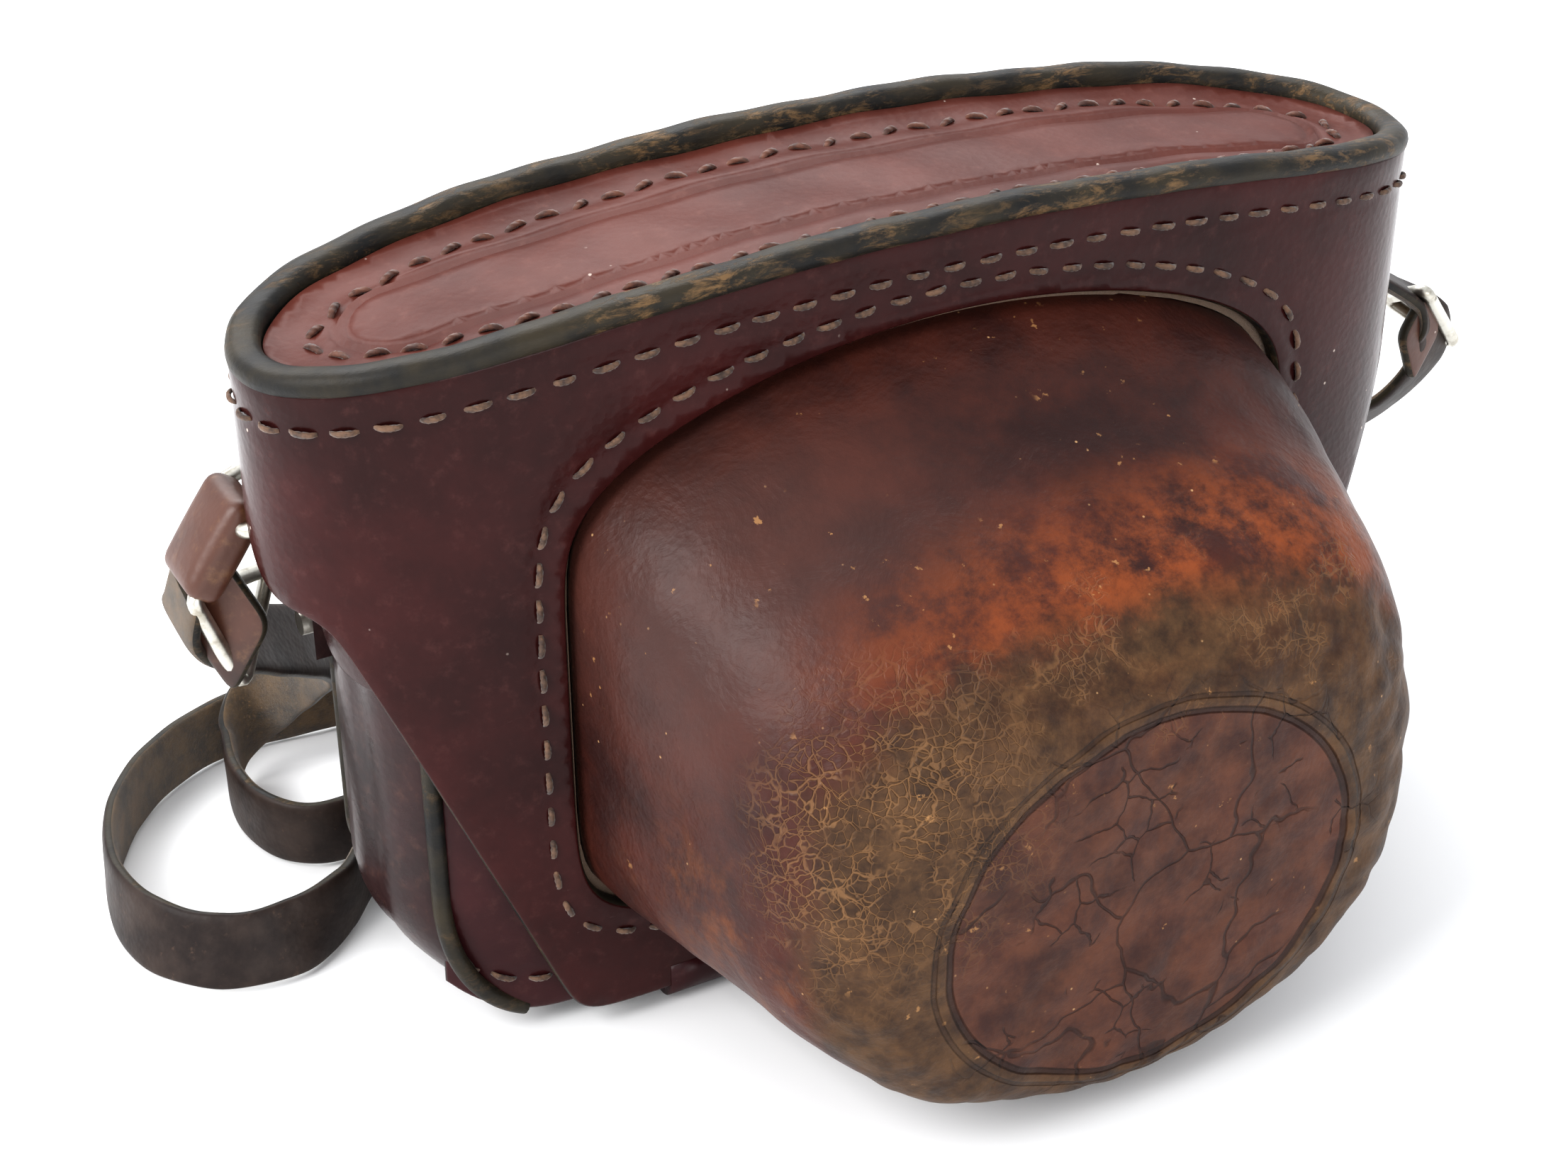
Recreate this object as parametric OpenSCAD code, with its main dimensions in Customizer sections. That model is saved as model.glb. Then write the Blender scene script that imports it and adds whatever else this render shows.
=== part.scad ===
// Rangefinder camera in its leather ever-ready case, with neck strap.
// Origin: centre of the base. +X along the case, -Y towards the lens snout, +Z up.

/* [Case] */
// Length of the case along its top rim
case_length = 156; // [150:1:162]
// Depth of the case body without the snout
case_depth = 41; // [40.5:0.5:43]
// Height of the rim at the two ends
end_height = 90; // [90:0.5:92]
// Height of the rim at the middle
mid_height = 98; // [98:0.5:100]
// Thickness of the shaped leather
leather = 2; // [1.9:0.1:2.1]
// How far the top plate lies below the rim
tray_depth = 3; // [2:0.5:3]

/* [Half case] */
// Length of the lower half, which holds the camera
half_length = 139; // [139:0.5:140]
// Depth of the lower half
half_depth = 34; // [34:0.1:34.2]
// Radius of the lower corners, seen from the front
half_corner = 18; // [16:1:19]
// Height of the back panel
back_height = 83.5; // [80:0.5:83.5]
// Height of the end walls
end_wall_height = 74; // [60:1:75]
// Height of the arms beside the lens cut-out
arm_height = 58; // [50:1:60]

/* [Snout] */
// Distance of the snout's front from the middle of the case
snout_reach = 64.5; // [63:0.5:66]
// Thickness of the moulded snout
snout_wall = 2.4; // [2:0.1:2.6]
// Points around each section of the snout
snout_sides = 48; // [32:4:56]

/* [Camera] */
// Length of the camera body
camera_length = 127; // [126:1:127]
// Depth of the camera body
camera_depth = 29; // [28.5:0.5:29]
// Height of the lens axis above the base
lens_height = 41; // [39.5:0.5:41]
// Distance of the knob shafts from the middle
knob_offset = 49; // [49:0.5:49.5]
// Diameter of the winding and rewinding knobs
knob_d = 17; // [15:0.5:18]
// Radial clearance of turning parts
running_gap = 0.05; // [0.03:0.01:0.08]

/* [Strap] */
// Width of the neck strap
strap_w = 10; // [9:0.5:11]
// Thickness of the neck strap
strap_t = 2.2; // [1.8:0.1:2.4]
// Diameter of the nickel wire in rings and buckles
wire_d = 2; // [1.6:0.1:2.2]

/* [Hidden] */
$fn = 64;

// case outlines
case_a = case_length / 2;
case_b = case_depth / 2;
half_a = half_length / 2;
half_b = half_depth / 2;
bow = 5.6;
half_bow = 9;
outline_points = 96;
arch = mid_height - end_height;
rim_r = (case_a * case_a + arch * arch) / (2 * arch);
skirt_z = 2.6;
flap_foot = 49;
flap_knee = [74.2, 61];
back_edge_z = 84.6;
back_edge_y = 11;
end_edge_y = -6;
wall_cut_y = -12;
half_floor = 2.4;
lens_cut_r = 25.5;
panel_end = 64.5;
panel_edge_y = 9;
welt_t = 1.8;
welt_h = 8;

// snout sections: distance forward, half width, lowest and highest side, arch, upper and lower fullness, shift
stations = [
  [18, 48.4, 16.2, 73, 12, 8, 7, 0],
  [28, 47.3, 13, 72, 9, 6.5, 4.6, 0],
  [38, 45.8, 9.5, 69.5, 6, 5, 3.3, 0.3],
  [47, 44, 6, 67, 4, 4.4, 2.7, 0.6],
  [54, 42, 4, 64, 3, 3.8, 2.4, 1],
  [59.5, 39, 3.6, 60, 2, 3.2, 2.25, 1.2],
  [63, 34.5, 5.8, 56.5, 1, 2.7, 2.15, 1.2]
];
opening_gap = 0.8;
flange_w = 4;
flange_t = 0.9;

// closing tab at the back
tab_y = case_b + 0.4;
tab_w = 20;
tab_foot = 66;
tab_top = 93;
stud_z = 88.5;

// camera
camera_r = camera_depth / 2;
camera_c = camera_length / 2 - camera_r;
liner_t = 2;
camera_floor = half_floor + leather + liner_t;
camera_corner = 10;
body_wall = 2;
plate_top = camera_floor + 3;
body_top = 66;
shoulder_z = 77;
hump_z = 84;
hump_x = [-34, 13];
dial_x = 22;
button_x = 35.5;
shaft_r = 3;
chamber_top = body_top - 1;
screw_x = -46;
bush_r = 4.76;
socket_r = 3.175;
screw_r = bush_r - running_gap;
button_r = 2.2;
door_x = 44;
door_z = [14, 63];

// lens radii and faces, measured forward from the middle
mount_y = 18;
base_r = 20.5;
base_front = 33;
head_r = 17.5;
head_front = 47;
rim_front = 50;
slide_gap = 0.1;

// strap end hardware
ring_y = 11;
lug_z = 68;
ring_in = half_a + 1.5;
ring_half = strap_w / 2 + 1.2;
left_reach = 6.5;
right_reach = 10;
ring_fall = 2.5;
fold_r = 2.6;
keeper_t = 5;
keeper_in = 3;
keeper_length = 13;
left_tilt = 55;
right_tilt = 38;
left_buckle_corners = [[-84, 7, 58], [-72, 16, 54], [-79, 8, 44]];
right_buckle_corners = [[96, 6, 57], [97, 15, 52], [106, 9, 45]];

// route of the neck strap: place, then the direction across the strap
route = [
  [[-83.2, 11, 57.3], [0, 1, 0]],
  [[-84, 12.5, 51.5], [0, 1, 0.1]],
  [[-80, 17, 46], [0, 1, 0.4]],
  [[-72, 23, 40], [0, 1, 0.8]],
  [[-64, 30, 33.5], [0, 0.8, 1]],
  [[-59.5, 38, 26.5], [0, 0.3, 1]],
  [[-60.5, 46.5, 19], [0, 0.2, 1]],
  [[-64.5, 52, 12], [0, 0.2, 1]],
  [[-69.5, 50.5, 7.5], [0, 0.1, 1]],
  [[-72, 43, 5.4], [0, 0, 1]],
  [[-71, 34, 5.3], [0, 0, 1]],
  [[-66.5, 28.5, 5.3], [0, 0, 1]],
  [[-59, 28, 5.3], [0, 0, 1]],
  [[-45, 30, 5.3], [0, 0, 1]],
  [[-20, 30, 5.3], [0, 0, 1]],
  [[15, 30, 5.3], [0, 0, 1]],
  [[45, 30, 5.3], [0, 0, 1]],
  [[52.5, 36, 5.3], [0, 0, 1]],
  [[45, 42, 5.3], [0, 0, 1]],
  [[15, 42, 5.3], [0, 0, 1]],
  [[-20, 42, 5.3], [0, 0, 1]],
  [[-38, 42, 5.3], [0, 0, 1]],
  [[-45.5, 48, 5.3], [0, 0, 1]],
  [[-38, 54, 5.3], [0, 0, 1]],
  [[-10, 54, 5.3], [0, 0, 1]],
  [[20, 54, 5.3], [0, 0, 1]],
  [[45, 54, 5.3], [0, 0, 1]],
  [[53, 60, 5.3], [0, 0, 1]],
  [[45, 66, 5.3], [0, 0, 1]],
  [[15, 66, 5.3], [0, 0, 1]],
  [[-20, 63, 5.3], [0, 0, 1]],
  [[-48, 58.5, 5.3], [0, 0, 1]],
  [[-67, 59, 5.3], [0, 0, 1]],
  [[-80, 53, 5.3], [0, 0, 1]],
  [[-89, 42, 5.3], [0, 0, 1]],
  [[-93, 29, 5.3], [0.1, 0, 1]],
  [[-91.5, 18, 5.2], [0.3, 0.1, 1]],
  [[-85, 10.5, 5.1], [0.3, 0.4, 1]],
  [[-76, 9, 5.2], [0, 0.4, 1]],
  [[-68, 13, 5.3], [0, 0, 1]],
  [[-61, 20, 5.3], [0, 0, 1]],
  [[-49, 24, 5.3], [0, 0, 1]],
  [[-15, 24, 5.3], [0, 0, 1]],
  [[20, 24, 5.3], [0, 0, 1]],
  [[50, 24, 5.4], [0, 0, 1]],
  [[63, 25, 9], [0, 0, 1]],
  [[73, 25, 18], [-0.1, -0.1, 1]],
  [[82, 22, 26], [-0.3, -0.3, 0.9]],
  [[90, 17, 31.5], [-0.6, -0.4, 0.7]],
  [[96.5, 12.5, 36.5], [-0.8, -0.5, 0.4]],
  [[100.5, 9.5, 43.5], [-0.9, -0.3, 0.1]],
  [[100.5, 9, 49.5], [-0.9, -0.35, 0]],
  [[96.5, 10.3, 54.5], [-0.3, -1, 0]],
  [[88.9, 11, 59.3], [0, -1, 0]]
];

// A lens-shaped outline: a rounded rectangle whose long sides bow outwards.
function bowed(a, b, m) = [
  for (i = [0 : outline_points - 1])
    let (t = 360 * i / outline_points, c = cos(t))
      [a * sign(c) * pow(abs(c), 2 / m), b * sin(t)]
];

// One section of the snout as [x, z] points.
function section(s, grow) = [
  for (i = [0 : snout_sides - 1])
    let (
      t = 360 * (i + 0.5) / snout_sides,
      c = cos(t),
      k = sin(t),
      n = k > 0 ? s[5] : s[6],
      low = s[2] - grow,
      high = s[3] + grow,
      x = (s[1] + grow) * sign(c) * pow(abs(c), 2 / n),
      z = (low + high) / 2 + (high - low) / 2 * sign(k) * pow(abs(k), 2 / n),
      rise = (z - low) / (high - low)
    )
      [x + s[7], z + s[4] * rise * rise * (1 - pow(x / (s[1] + grow), 2))]
];

function section_ring(s, grow, back) = [for (p = section(s, grow)) [p[0], back - s[0], p[1]]];

// Catmull-Rom point between b and c.
function between(a, b, c, d, t) =
  0.5 * (2 * b + (c - a) * t + (2 * a - 5 * b + 4 * c - d) * t * t + (3 * b - a - 3 * c + d) * t * t * t);

function unit(v) = v / norm(v);

// The four corners of a flat strap at one place.
function strap_corners(p, along, across) =
  let (
    w = unit(across - along * (across * along)) * strap_w / 2,
    h = unit(cross(along, w)) * strap_t / 2
  )
    [p + w + h, p - w + h, p - w - h, p + w - h];

module prism(points, z0, z1) {
  translate([0, 0, z0])
    linear_extrude(height = z1 - z0)
      polygon(points);
}

// Extrudes a drawing in the XZ plane along Y, from y0 to y1.
module along_y(y0, y1) {
  translate([0, y1, 0])
    rotate([90, 0, 0])
      linear_extrude(height = y1 - y0)
        children();
}

// Extrudes a drawing in the YZ plane along X, through the whole case.
module along_x(reach) {
  rotate([90, 0, 90])
    translate([0, 0, -reach])
      linear_extrude(height = 2 * reach)
        children();
}

// A disc or tube on the lens axis, from y0 back to y1 forward.
module on_lens(r, y0, y1) {
  translate([0, -y0, lens_height])
    rotate([90, 0, 0])
      cylinder(r = r, h = y1 - y0);
}

module lens_tube(r, bore, y0, y1) {
  difference() {
    on_lens(r, y0, y1);
    on_lens(bore, y0 - 1, y1 + 1);
  }
}

// Everything below the arched rim, lowered by drop.
module under_arch(drop) {
  translate([0, 60, mid_height - rim_r - drop])
    rotate([90, 0, 0])
      cylinder(r = rim_r, h = 120, $fn = 256);
}

// Space below the cover's front flap.
module flap_cut() {
  for (side = [-1, 1])
    along_y(-60, 0)
      polygon([
        [side * (flap_foot - 1.5), -5],
        [side * flap_foot, 0],
        [side * flap_knee[0], flap_knee[1]],
        [side * 100, flap_knee[1]],
        [side * 100, -5]
      ]);
}

// Space below the cover's back edge, rising in a curve round each end.
module back_cut() {
  rise_steps = 10;
  along_x(100)
    polygon(concat(
      [[end_edge_y, -5]],
      [for (i = [0 : rise_steps]) [
        end_edge_y + (back_edge_y - end_edge_y) * i / rise_steps,
        flap_knee[1] + (back_edge_z - flap_knee[1]) * pow(i / rise_steps, 2)
      ]],
      [[60, back_edge_z], [60, -5]]
    ));
}

// The whole leather wall of the cover.
module wall_strip() {
  difference() {
    intersection() {
      prism(bowed(case_a, case_b, bow), skirt_z, mid_height);
      under_arch(0);
    }
    prism(bowed(case_a - leather, case_b - leather, bow), 0, mid_height + 1);
    flap_cut();
    back_cut();
    along_y(-60, 0)
      polygon(section(stations[0], opening_gap));
  }
}

module cover_wall() {
  color("#4b1d22")
    intersection() {
      wall_strip();
      translate([-90, -60, 0])
        cube([180, 60 + wall_cut_y, 110]);
    }
}

// One end of the cover with its half of the back.
module wall_end(side) {
  color("#4b1d22")
    intersection() {
      wall_strip();
      translate([side > 0 ? 0 : -90, wall_cut_y, 0])
        cube([90, 60, 110]);
    }
}

module cover_left_end() { wall_end(-1); }
module cover_right_end() { wall_end(1); }

module rim_welt() {
  color("#2c1a16")
    difference() {
      intersection() {
        prism(bowed(case_a - leather, case_b - leather, bow), end_height - welt_h, mid_height);
        under_arch(0.3);
      }
      prism(bowed(case_a - leather - welt_t, case_b - leather - welt_t, bow), 0, mid_height + 1);
      intersection() {
        prism(bowed(case_a, case_b, bow), 0, mid_height);
        under_arch(welt_h);
      }
    }
}

module top_plate() {
  inset = leather + welt_t;
  color("#5a2a2a")
    difference() {
      intersection() {
        prism(bowed(case_a - inset, case_b - inset, bow), end_height - 10, mid_height);
        under_arch(tray_depth);
      }
      under_arch(tray_depth + leather);
    }
}

module snout() {
  n = len(stations);
  outer = [for (s = stations) section_ring(s, 0, 0)];
  inner = [for (i = [n - 1 : -1 : 0]) section_ring(stations[i], -snout_wall, i == 0 ? 0 : snout_wall)];
  rings = concat(outer, inner);
  rows = len(rings);
  points = concat(
    [for (r = rings) for (p = r) p],
    [[stations[n - 1][7], -snout_reach, 31], [stations[n - 1][7], snout_wall - snout_reach, 31]]
  );
  front = rows * snout_sides;
  faces = concat(
    [for (r = [0 : rows - 1]) if (r != n - 1)
      for (i = [0 : snout_sides - 1])
        let (
          j = (i + 1) % snout_sides,
          a = r * snout_sides,
          b = ((r + 1) % rows) * snout_sides
        )
          each [[a + i, b + i, b + j], [a + i, b + j, a + j]]],
    [for (i = [0 : snout_sides - 1])
      let (j = (i + 1) % snout_sides, a = (n - 1) * snout_sides)
        [a + i, front, a + j]],
    [for (i = [0 : snout_sides - 1])
      let (j = (i + 1) % snout_sides, a = n * snout_sides)
        [a + j, front + 1, a + i]]
  );
  color("#5d2f1e")
    polyhedron(points = points, faces = faces);
}

module snout_flange() {
  color("#3a1a14")
    difference() {
      intersection() {
        prism(bowed(case_a - leather, case_b - leather, bow), 8, mid_height);
        along_y(-60, 0)
          polygon(section(stations[0], flange_w));
      }
      prism(bowed(case_a - leather - flange_t, case_b - leather - flange_t, bow), 0, mid_height);
      along_y(-60, 0)
        polygon(section(stations[0], 0.05));
    }
}

// Front outline of the lower half, shrunk by inset.
module half_profile(inset, top) {
  r = half_corner - inset;
  x = half_a - half_corner;
  z = half_floor + half_corner;
  union() {
    translate([-half_a + inset, z])
      square([2 * (half_a - inset), top - z]);
    translate([-x, half_floor + inset])
      square([2 * x, half_corner]);
    for (side = [-1, 1])
      translate([side * x, z])
        circle(r = r, $fn = 96);
  }
}

module half_shell() {
  difference() {
    intersection() {
      prism(bowed(half_a, half_b, half_bow), half_floor, back_height);
      along_y(-60, 60)
        half_profile(0, back_height);
    }
    intersection() {
      prism(bowed(half_a - leather, half_b - leather, half_bow), half_floor, back_height + 1);
      along_y(-60, 60)
        half_profile(leather, back_height + 1);
    }
  }
}

// Block that holds one long panel: side is -1 in front, 1 behind.
module panel_zone(side) {
  translate([-panel_end, side > 0 ? panel_edge_y : -60, 0])
    cube([2 * panel_end, 60 - panel_edge_y, 100]);
}

module floor_zone() {
  translate([-80, -half_b + leather, 0])
    cube([160, half_depth - 2 * leather, half_floor + leather]);
}

module lower_front_panel() {
  color("#4e2226")
    difference() {
      intersection() {
        half_shell();
        panel_zone(-1);
      }
      translate([-80, -60, arm_height])
        cube([160, 120, 100]);
      on_lens(lens_cut_r, 0, 60);
      translate([-lens_cut_r, -60, lens_height])
        cube([2 * lens_cut_r, 60, 60]);
      floor_zone();
    }
}

module lower_back_panel() {
  color("#4e2226")
    difference() {
      intersection() {
        half_shell();
        panel_zone(1);
      }
      floor_zone();
    }
}

// The end walls and floor of the lower half.
module gusset_strip() {
  difference() {
    union() {
      difference() {
        half_shell();
        panel_zone(-1);
        panel_zone(1);
      }
      intersection() {
        half_shell();
        floor_zone();
      }
    }
    translate([-80, -60, end_wall_height])
      cube([160, 120, 100]);
    translate([screw_x, 0, 0])
      cylinder(r = 7, h = 10);
  }
}

module gusset(side) {
  color("#38201c")
    intersection() {
      gusset_strip();
      translate([side > 0 ? 0 : -80, -30, 0])
        cube([80, 60, 100]);
    }
}

module left_gusset() { gusset(-1); }
module right_gusset() { gusset(1); }

module hinge_tongue() {
  color("#4b1d22")
    translate([-38, -16.5, 0])
      cube([76, 29, half_floor]);
}

module base_liner() {
  color("#3c3a37")
    difference() {
      translate([-50, -12, half_floor + leather])
        cube([100, 24, liner_t]);
      translate([screw_x, 0, 0])
        cylinder(r = 7, h = 20);
    }
}

module screw_grommet() {
  color("#b9b4a8")
    translate([screw_x, 0, half_floor])
      difference() {
        cylinder(r = 7, h = leather);
        translate([0, 0, -1])
          cylinder(r = screw_r + 0.15, h = leather + 2);
      }
}

module retaining_screw() {
  head_r = 8;
  grips = 24;
  color("#c9c5ba")
    translate([screw_x, 0, 0])
      difference() {
        union() {
          cylinder(r = head_r, h = half_floor - 0.2);
          cylinder(r = screw_r, h = plate_top - 1);
        }
        translate([0, 0, -1])
          cylinder(r = socket_r, h = 7);
        for (i = [0 : grips - 1])
          rotate([0, 0, 360 * i / grips])
            translate([head_r + 0.3, 0, -1])
              cylinder(r = 0.7, h = 5, $fn = 16);
      }
}

// The tab hangs on its anchor at the back and closes over the cover's back edge.
module closing_tab() {
  color("#4b1d22")
    difference() {
      union() {
        translate([-tab_w / 2, tab_y, tab_foot])
          cube([tab_w, leather, stud_z - tab_foot]);
        translate([0, tab_y + leather, stud_z])
          rotate([90, 0, 0])
            cylinder(r = tab_w / 2, h = leather);
      }
      translate([-tab_w, tab_y - 1, tab_top])
        cube([2 * tab_w, 10, 10]);
      translate([0, tab_y + 10, stud_z])
        rotate([90, 0, 0])
          cylinder(r = 3.2, h = 20);
    }
}

module stud_cap() {
  color("#bdb8ac")
    translate([0, tab_y + leather + 1.6, stud_z])
      rotate([90, 0, 0])
        difference() {
          union() {
            cylinder(r = 6, h = 1.6);
            translate([0, 0, 1.6])
              cylinder(r = 3.2, h = leather - 0.4);
          }
          translate([0, 0, 1])
            cylinder(r = 2.6, h = 5);
        }
}

module tab_anchor() {
  color("#3f1c1e")
    translate([-tab_w / 2, half_b, tab_foot - 14])
      cube([tab_w, tab_y + leather - half_b, 13.6]);
}

module stud_post() {
  color("#bdb8ac")
    translate([0, case_b + 0.9, stud_z])
      rotate([90, 0, 0])
        cylinder(r = 1.8, h = 0.9);
}

// A straight round wire between two points, turned about its own axis.
module wire(a, b, turn) {
  v = b - a;
  translate(a)
    rotate([0, acos(v[2] / norm(v)), atan2(v[1], v[0])])
      rotate([0, 0, turn])
        cylinder(r = wire_d / 2, h = norm(v), $fn = 24);
}

// A closed loop of wire through the given corners.
module wire_frame(corners) {
  n = len(corners);
  for (i = [0 : n - 1]) {
    wire(corners[i], corners[(i + 1) % n], 40 * i);
    translate(corners[i])
      rotate([25, 0, 70 * i + 20])
        sphere(r = wire_d * 0.54, $fn = 24);
  }
}

// Leather tab hugging one end of the lower half, folded over the ring's inner bar.
module lug_tab(side) {
  color("#3a1f1a")
    difference() {
      union() {
        intersection() {
          prism(bowed(half_a + 1.8, half_b + 1.8, half_bow), 46, lug_z);
          translate([side > 0 ? 50 : -90, ring_y - 5, 40])
            cube([40, 10, 60]);
        }
        translate([side * ring_in, ring_y + 5, lug_z])
          rotate([90, 0, 0])
            cylinder(r = fold_r, h = 10);
      }
      translate([side * ring_in, ring_y + 30, lug_z])
        rotate([90, 0, 0])
          cylinder(r = wire_d / 2 + 0.1, h = 60);
      prism(bowed(half_a, half_b, half_bow), 0, 90);
    }
}

module end_ring(side, reach) {
  out = ring_in + reach;
  low = lug_z - ring_fall;
  color("#c4c0b4")
    wire_frame([
      [side * ring_in, ring_y - ring_half, lug_z],
      [side * ring_in, ring_y + ring_half, lug_z],
      [side * out, ring_y + ring_half, low],
      [side * out, ring_y - ring_half, low]
    ]);
}

// Folded strap end in its leather loop, hanging on the ring's outer bar.
module keeper(side, reach, tilt) {
  w = strap_w + 0.4;
  color("#4a2218")
    translate([side * (ring_in + reach), ring_y, lug_z - ring_fall])
      mirror([side < 0 ? 1 : 0, 0, 0])
        rotate([0, tilt, 0])
          difference() {
            translate([-keeper_in, -w / 2, -keeper_t / 2])
              cube([keeper_length, w, keeper_t]);
            rotate([90, 0, 0])
              cylinder(r = wire_d / 2 + 0.1, h = 30, center = true, $fn = 24);
          }
}

module buckle(corners) {
  color("#c4c0b4")
    wire_frame(corners);
}

module left_lug_tab() { lug_tab(-1); }
module right_lug_tab() { lug_tab(1); }
module left_ring() { end_ring(-1, left_reach); }
module right_ring() { end_ring(1, right_reach); }
module left_keeper() { keeper(-1, left_reach, left_tilt); }
module right_keeper() { keeper(1, right_reach, right_tilt); }
module left_buckle() { buckle(left_buckle_corners); }
module right_buckle() { buckle(right_buckle_corners); }

module lug_rivets() {
  color("#c4c0b4")
    for (side = [-1, 1])
      for (z = [50, 57])
        translate([side * (half_a - 0.2), ring_y - 2.5, z])
          rotate([0, side * 90, 0])
            cylinder(r = 1.5, h = 2);
}

module neck_strap() {
  steps = 2;
  last = len(route) - 1;
  centre = concat(
    [for (i = [0 : last - 1]) for (k = [0 : steps - 1])
      between(route[max(i - 1, 0)][0], route[i][0], route[i + 1][0], route[min(i + 2, last)][0], k / steps)],
    [route[last][0]]
  );
  across = concat(
    [for (i = [0 : last - 1]) for (k = [0 : steps - 1])
      unit(route[i][1] + (route[i + 1][1] - route[i][1]) * k / steps)],
    [route[last][1]]
  );
  n = len(centre);
  points = [
    for (i = [0 : n - 1])
      let (along = unit(centre[min(i + 1, n - 1)] - centre[max(i - 1, 0)]))
        each strap_corners(centre[i], along, across[i])
  ];
  faces = concat(
    [[0, 1, 2], [0, 2, 3]],
    [for (i = [0 : n - 2]) for (k = [0 : 3])
      let (a = 4 * i + k, b = 4 * i + (k + 1) % 4)
        each [[a, a + 4, b], [b, a + 4, b + 4]]],
    [[4 * n - 4, 4 * n - 2, 4 * n - 3], [4 * n - 4, 4 * n - 1, 4 * n - 2]]
  );
  color("#3b2a20")
    polyhedron(points = points, faces = faces);
}

// Plan of the camera: a long shape with half-round ends.
module camera_plan(inset) {
  r = camera_r - inset;
  union() {
    square([2 * camera_c, 2 * r], center = true);
    for (side = [-1, 1])
      translate([side * camera_c, 0])
        circle(r = r, $fn = 96);
  }
}

// The camera body between two heights, with rounded lower corners.
module camera_block(inset, z0, z1) {
  r = camera_corner - inset;
  x = camera_length / 2 - camera_corner;
  z = camera_floor + camera_corner;
  intersection() {
    translate([0, 0, z0])
      linear_extrude(height = z1 - z0)
        camera_plan(inset);
    along_y(-40, 40)
      union() {
        translate([-camera_length / 2 + inset, z])
          square([camera_length - 2 * inset, 90]);
        translate([-x, z - r])
          square([2 * x, r + 1]);
        for (side = [-1, 1])
          translate([side * x, z])
            circle(r = r, $fn = 96);
      }
  }
}

module door_zone(gap) {
  translate([-door_x - gap, 8, door_z[0] - gap])
    cube([2 * (door_x + gap), 20, door_z[1] - door_z[0] + 2 * gap]);
}

module body_shell() {
  color("#23211f")
    difference() {
      camera_block(0, plate_top, body_top);
      camera_block(body_wall, plate_top - 1, body_top + 1);
      on_lens(head_r + slide_gap, 0, 40);
      door_zone(0.1);
    }
}

module back_door() {
  color("#1f1e1d")
    intersection() {
      difference() {
        camera_block(0, plate_top, body_top);
        camera_block(body_wall, plate_top - 1, body_top + 1);
      }
      door_zone(0);
    }
}

module bottom_plate() {
  color("#c8c5bd")
    difference() {
      camera_block(0, camera_floor, plate_top);
      translate([screw_x, 0, 0])
        cylinder(r = 7, h = 20);
      for (side = [-1, 1])
        translate([side * knob_offset, 0, plate_top - 1])
          cylinder(r = 2 + running_gap, h = 2);
    }
}

module tripod_bush() {
  color("#a9a59b")
    translate([screw_x, 0, camera_floor])
      difference() {
        cylinder(r = 7, h = plate_top - camera_floor);
        translate([0, 0, -1])
          cylinder(r = bush_r, h = 10);
      }
}

module top_cover() {
  wall = 1.4;
  hump_w = hump_x[1] - hump_x[0];
  color("#c9c6be")
    difference() {
      union() {
        camera_block(0, body_top, shoulder_z);
        translate([hump_x[0], -11, shoulder_z - 1])
          cube([hump_w, 22, hump_z - shoulder_z + 1]);
      }
      camera_block(wall, body_top - 1, shoulder_z - wall);
      translate([hump_x[0] + wall, -11 + wall, body_top])
        cube([hump_w - 2 * wall, 22 - 2 * wall, hump_z - wall - body_top]);
      for (side = [-1, 1])
        translate([side * knob_offset, 0, body_top])
          cylinder(r = shaft_r + running_gap, h = 20);
      translate([dial_x, 0, body_top])
        cylinder(r = 2 + running_gap, h = 20);
      translate([button_x, 0, body_top])
        cylinder(r = button_r + running_gap, h = 20);
      translate([-6, -20, 71.5])
        cube([12, 12, 8 - 3]);
      translate([-24, -8, 73])
        rotate([90, 0, 0])
          cylinder(r = 3.2, h = 20);
      translate([-12, 8, 72])
        rotate([-90, 0, 0])
          cylinder(r = 3, h = 20);
    }
}

module viewfinder_window() {
  color("#8fa3b0")
    translate([-5.95, -camera_r, 71.55])
      cube([11.9, 1.2, 4.9]);
}

module rangefinder_window() {
  color("#8fa3b0")
    translate([-24, -camera_r + 1.2, 73])
      rotate([90, 0, 0])
        cylinder(r = 3.15, h = 1.2);
}

module window_bezels() {
  color("#26241f")
    union() {
      difference() {
        translate([-7.2, -camera_r - 0.7, 70.2])
          cube([14.4, 0.7, 6.6]);
        translate([-6, -camera_r - 1, 71.5])
          cube([12, 2, 5]);
      }
      translate([-24, -camera_r, 73])
        rotate([90, 0, 0])
          difference() {
            cylinder(r = 3.9, h = 0.7);
            translate([0, 0, -1])
              cylinder(r = 3.2, h = 3);
          }
    }
}

module eyepiece() {
  color("#26241f")
    translate([-12, camera_r - 1.4, 72])
      rotate([-90, 0, 0])
        difference() {
          cylinder(r = 2.95, h = 1.6);
          translate([0, 0, 0.9])
            cylinder(r = 2.2, h = 3);
        }
}

module accessory_shoe() {
  color("#bab7ae")
    translate([-18, -9, hump_z])
      difference() {
        cube([18, 18, 2.4]);
        translate([2.8, -1, 0.8])
          cube([12.4, 17.5, 3]);
        translate([1.4, -1, 0.8])
          cube([15.2, 17.5, 0.9]);
      }
}

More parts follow.
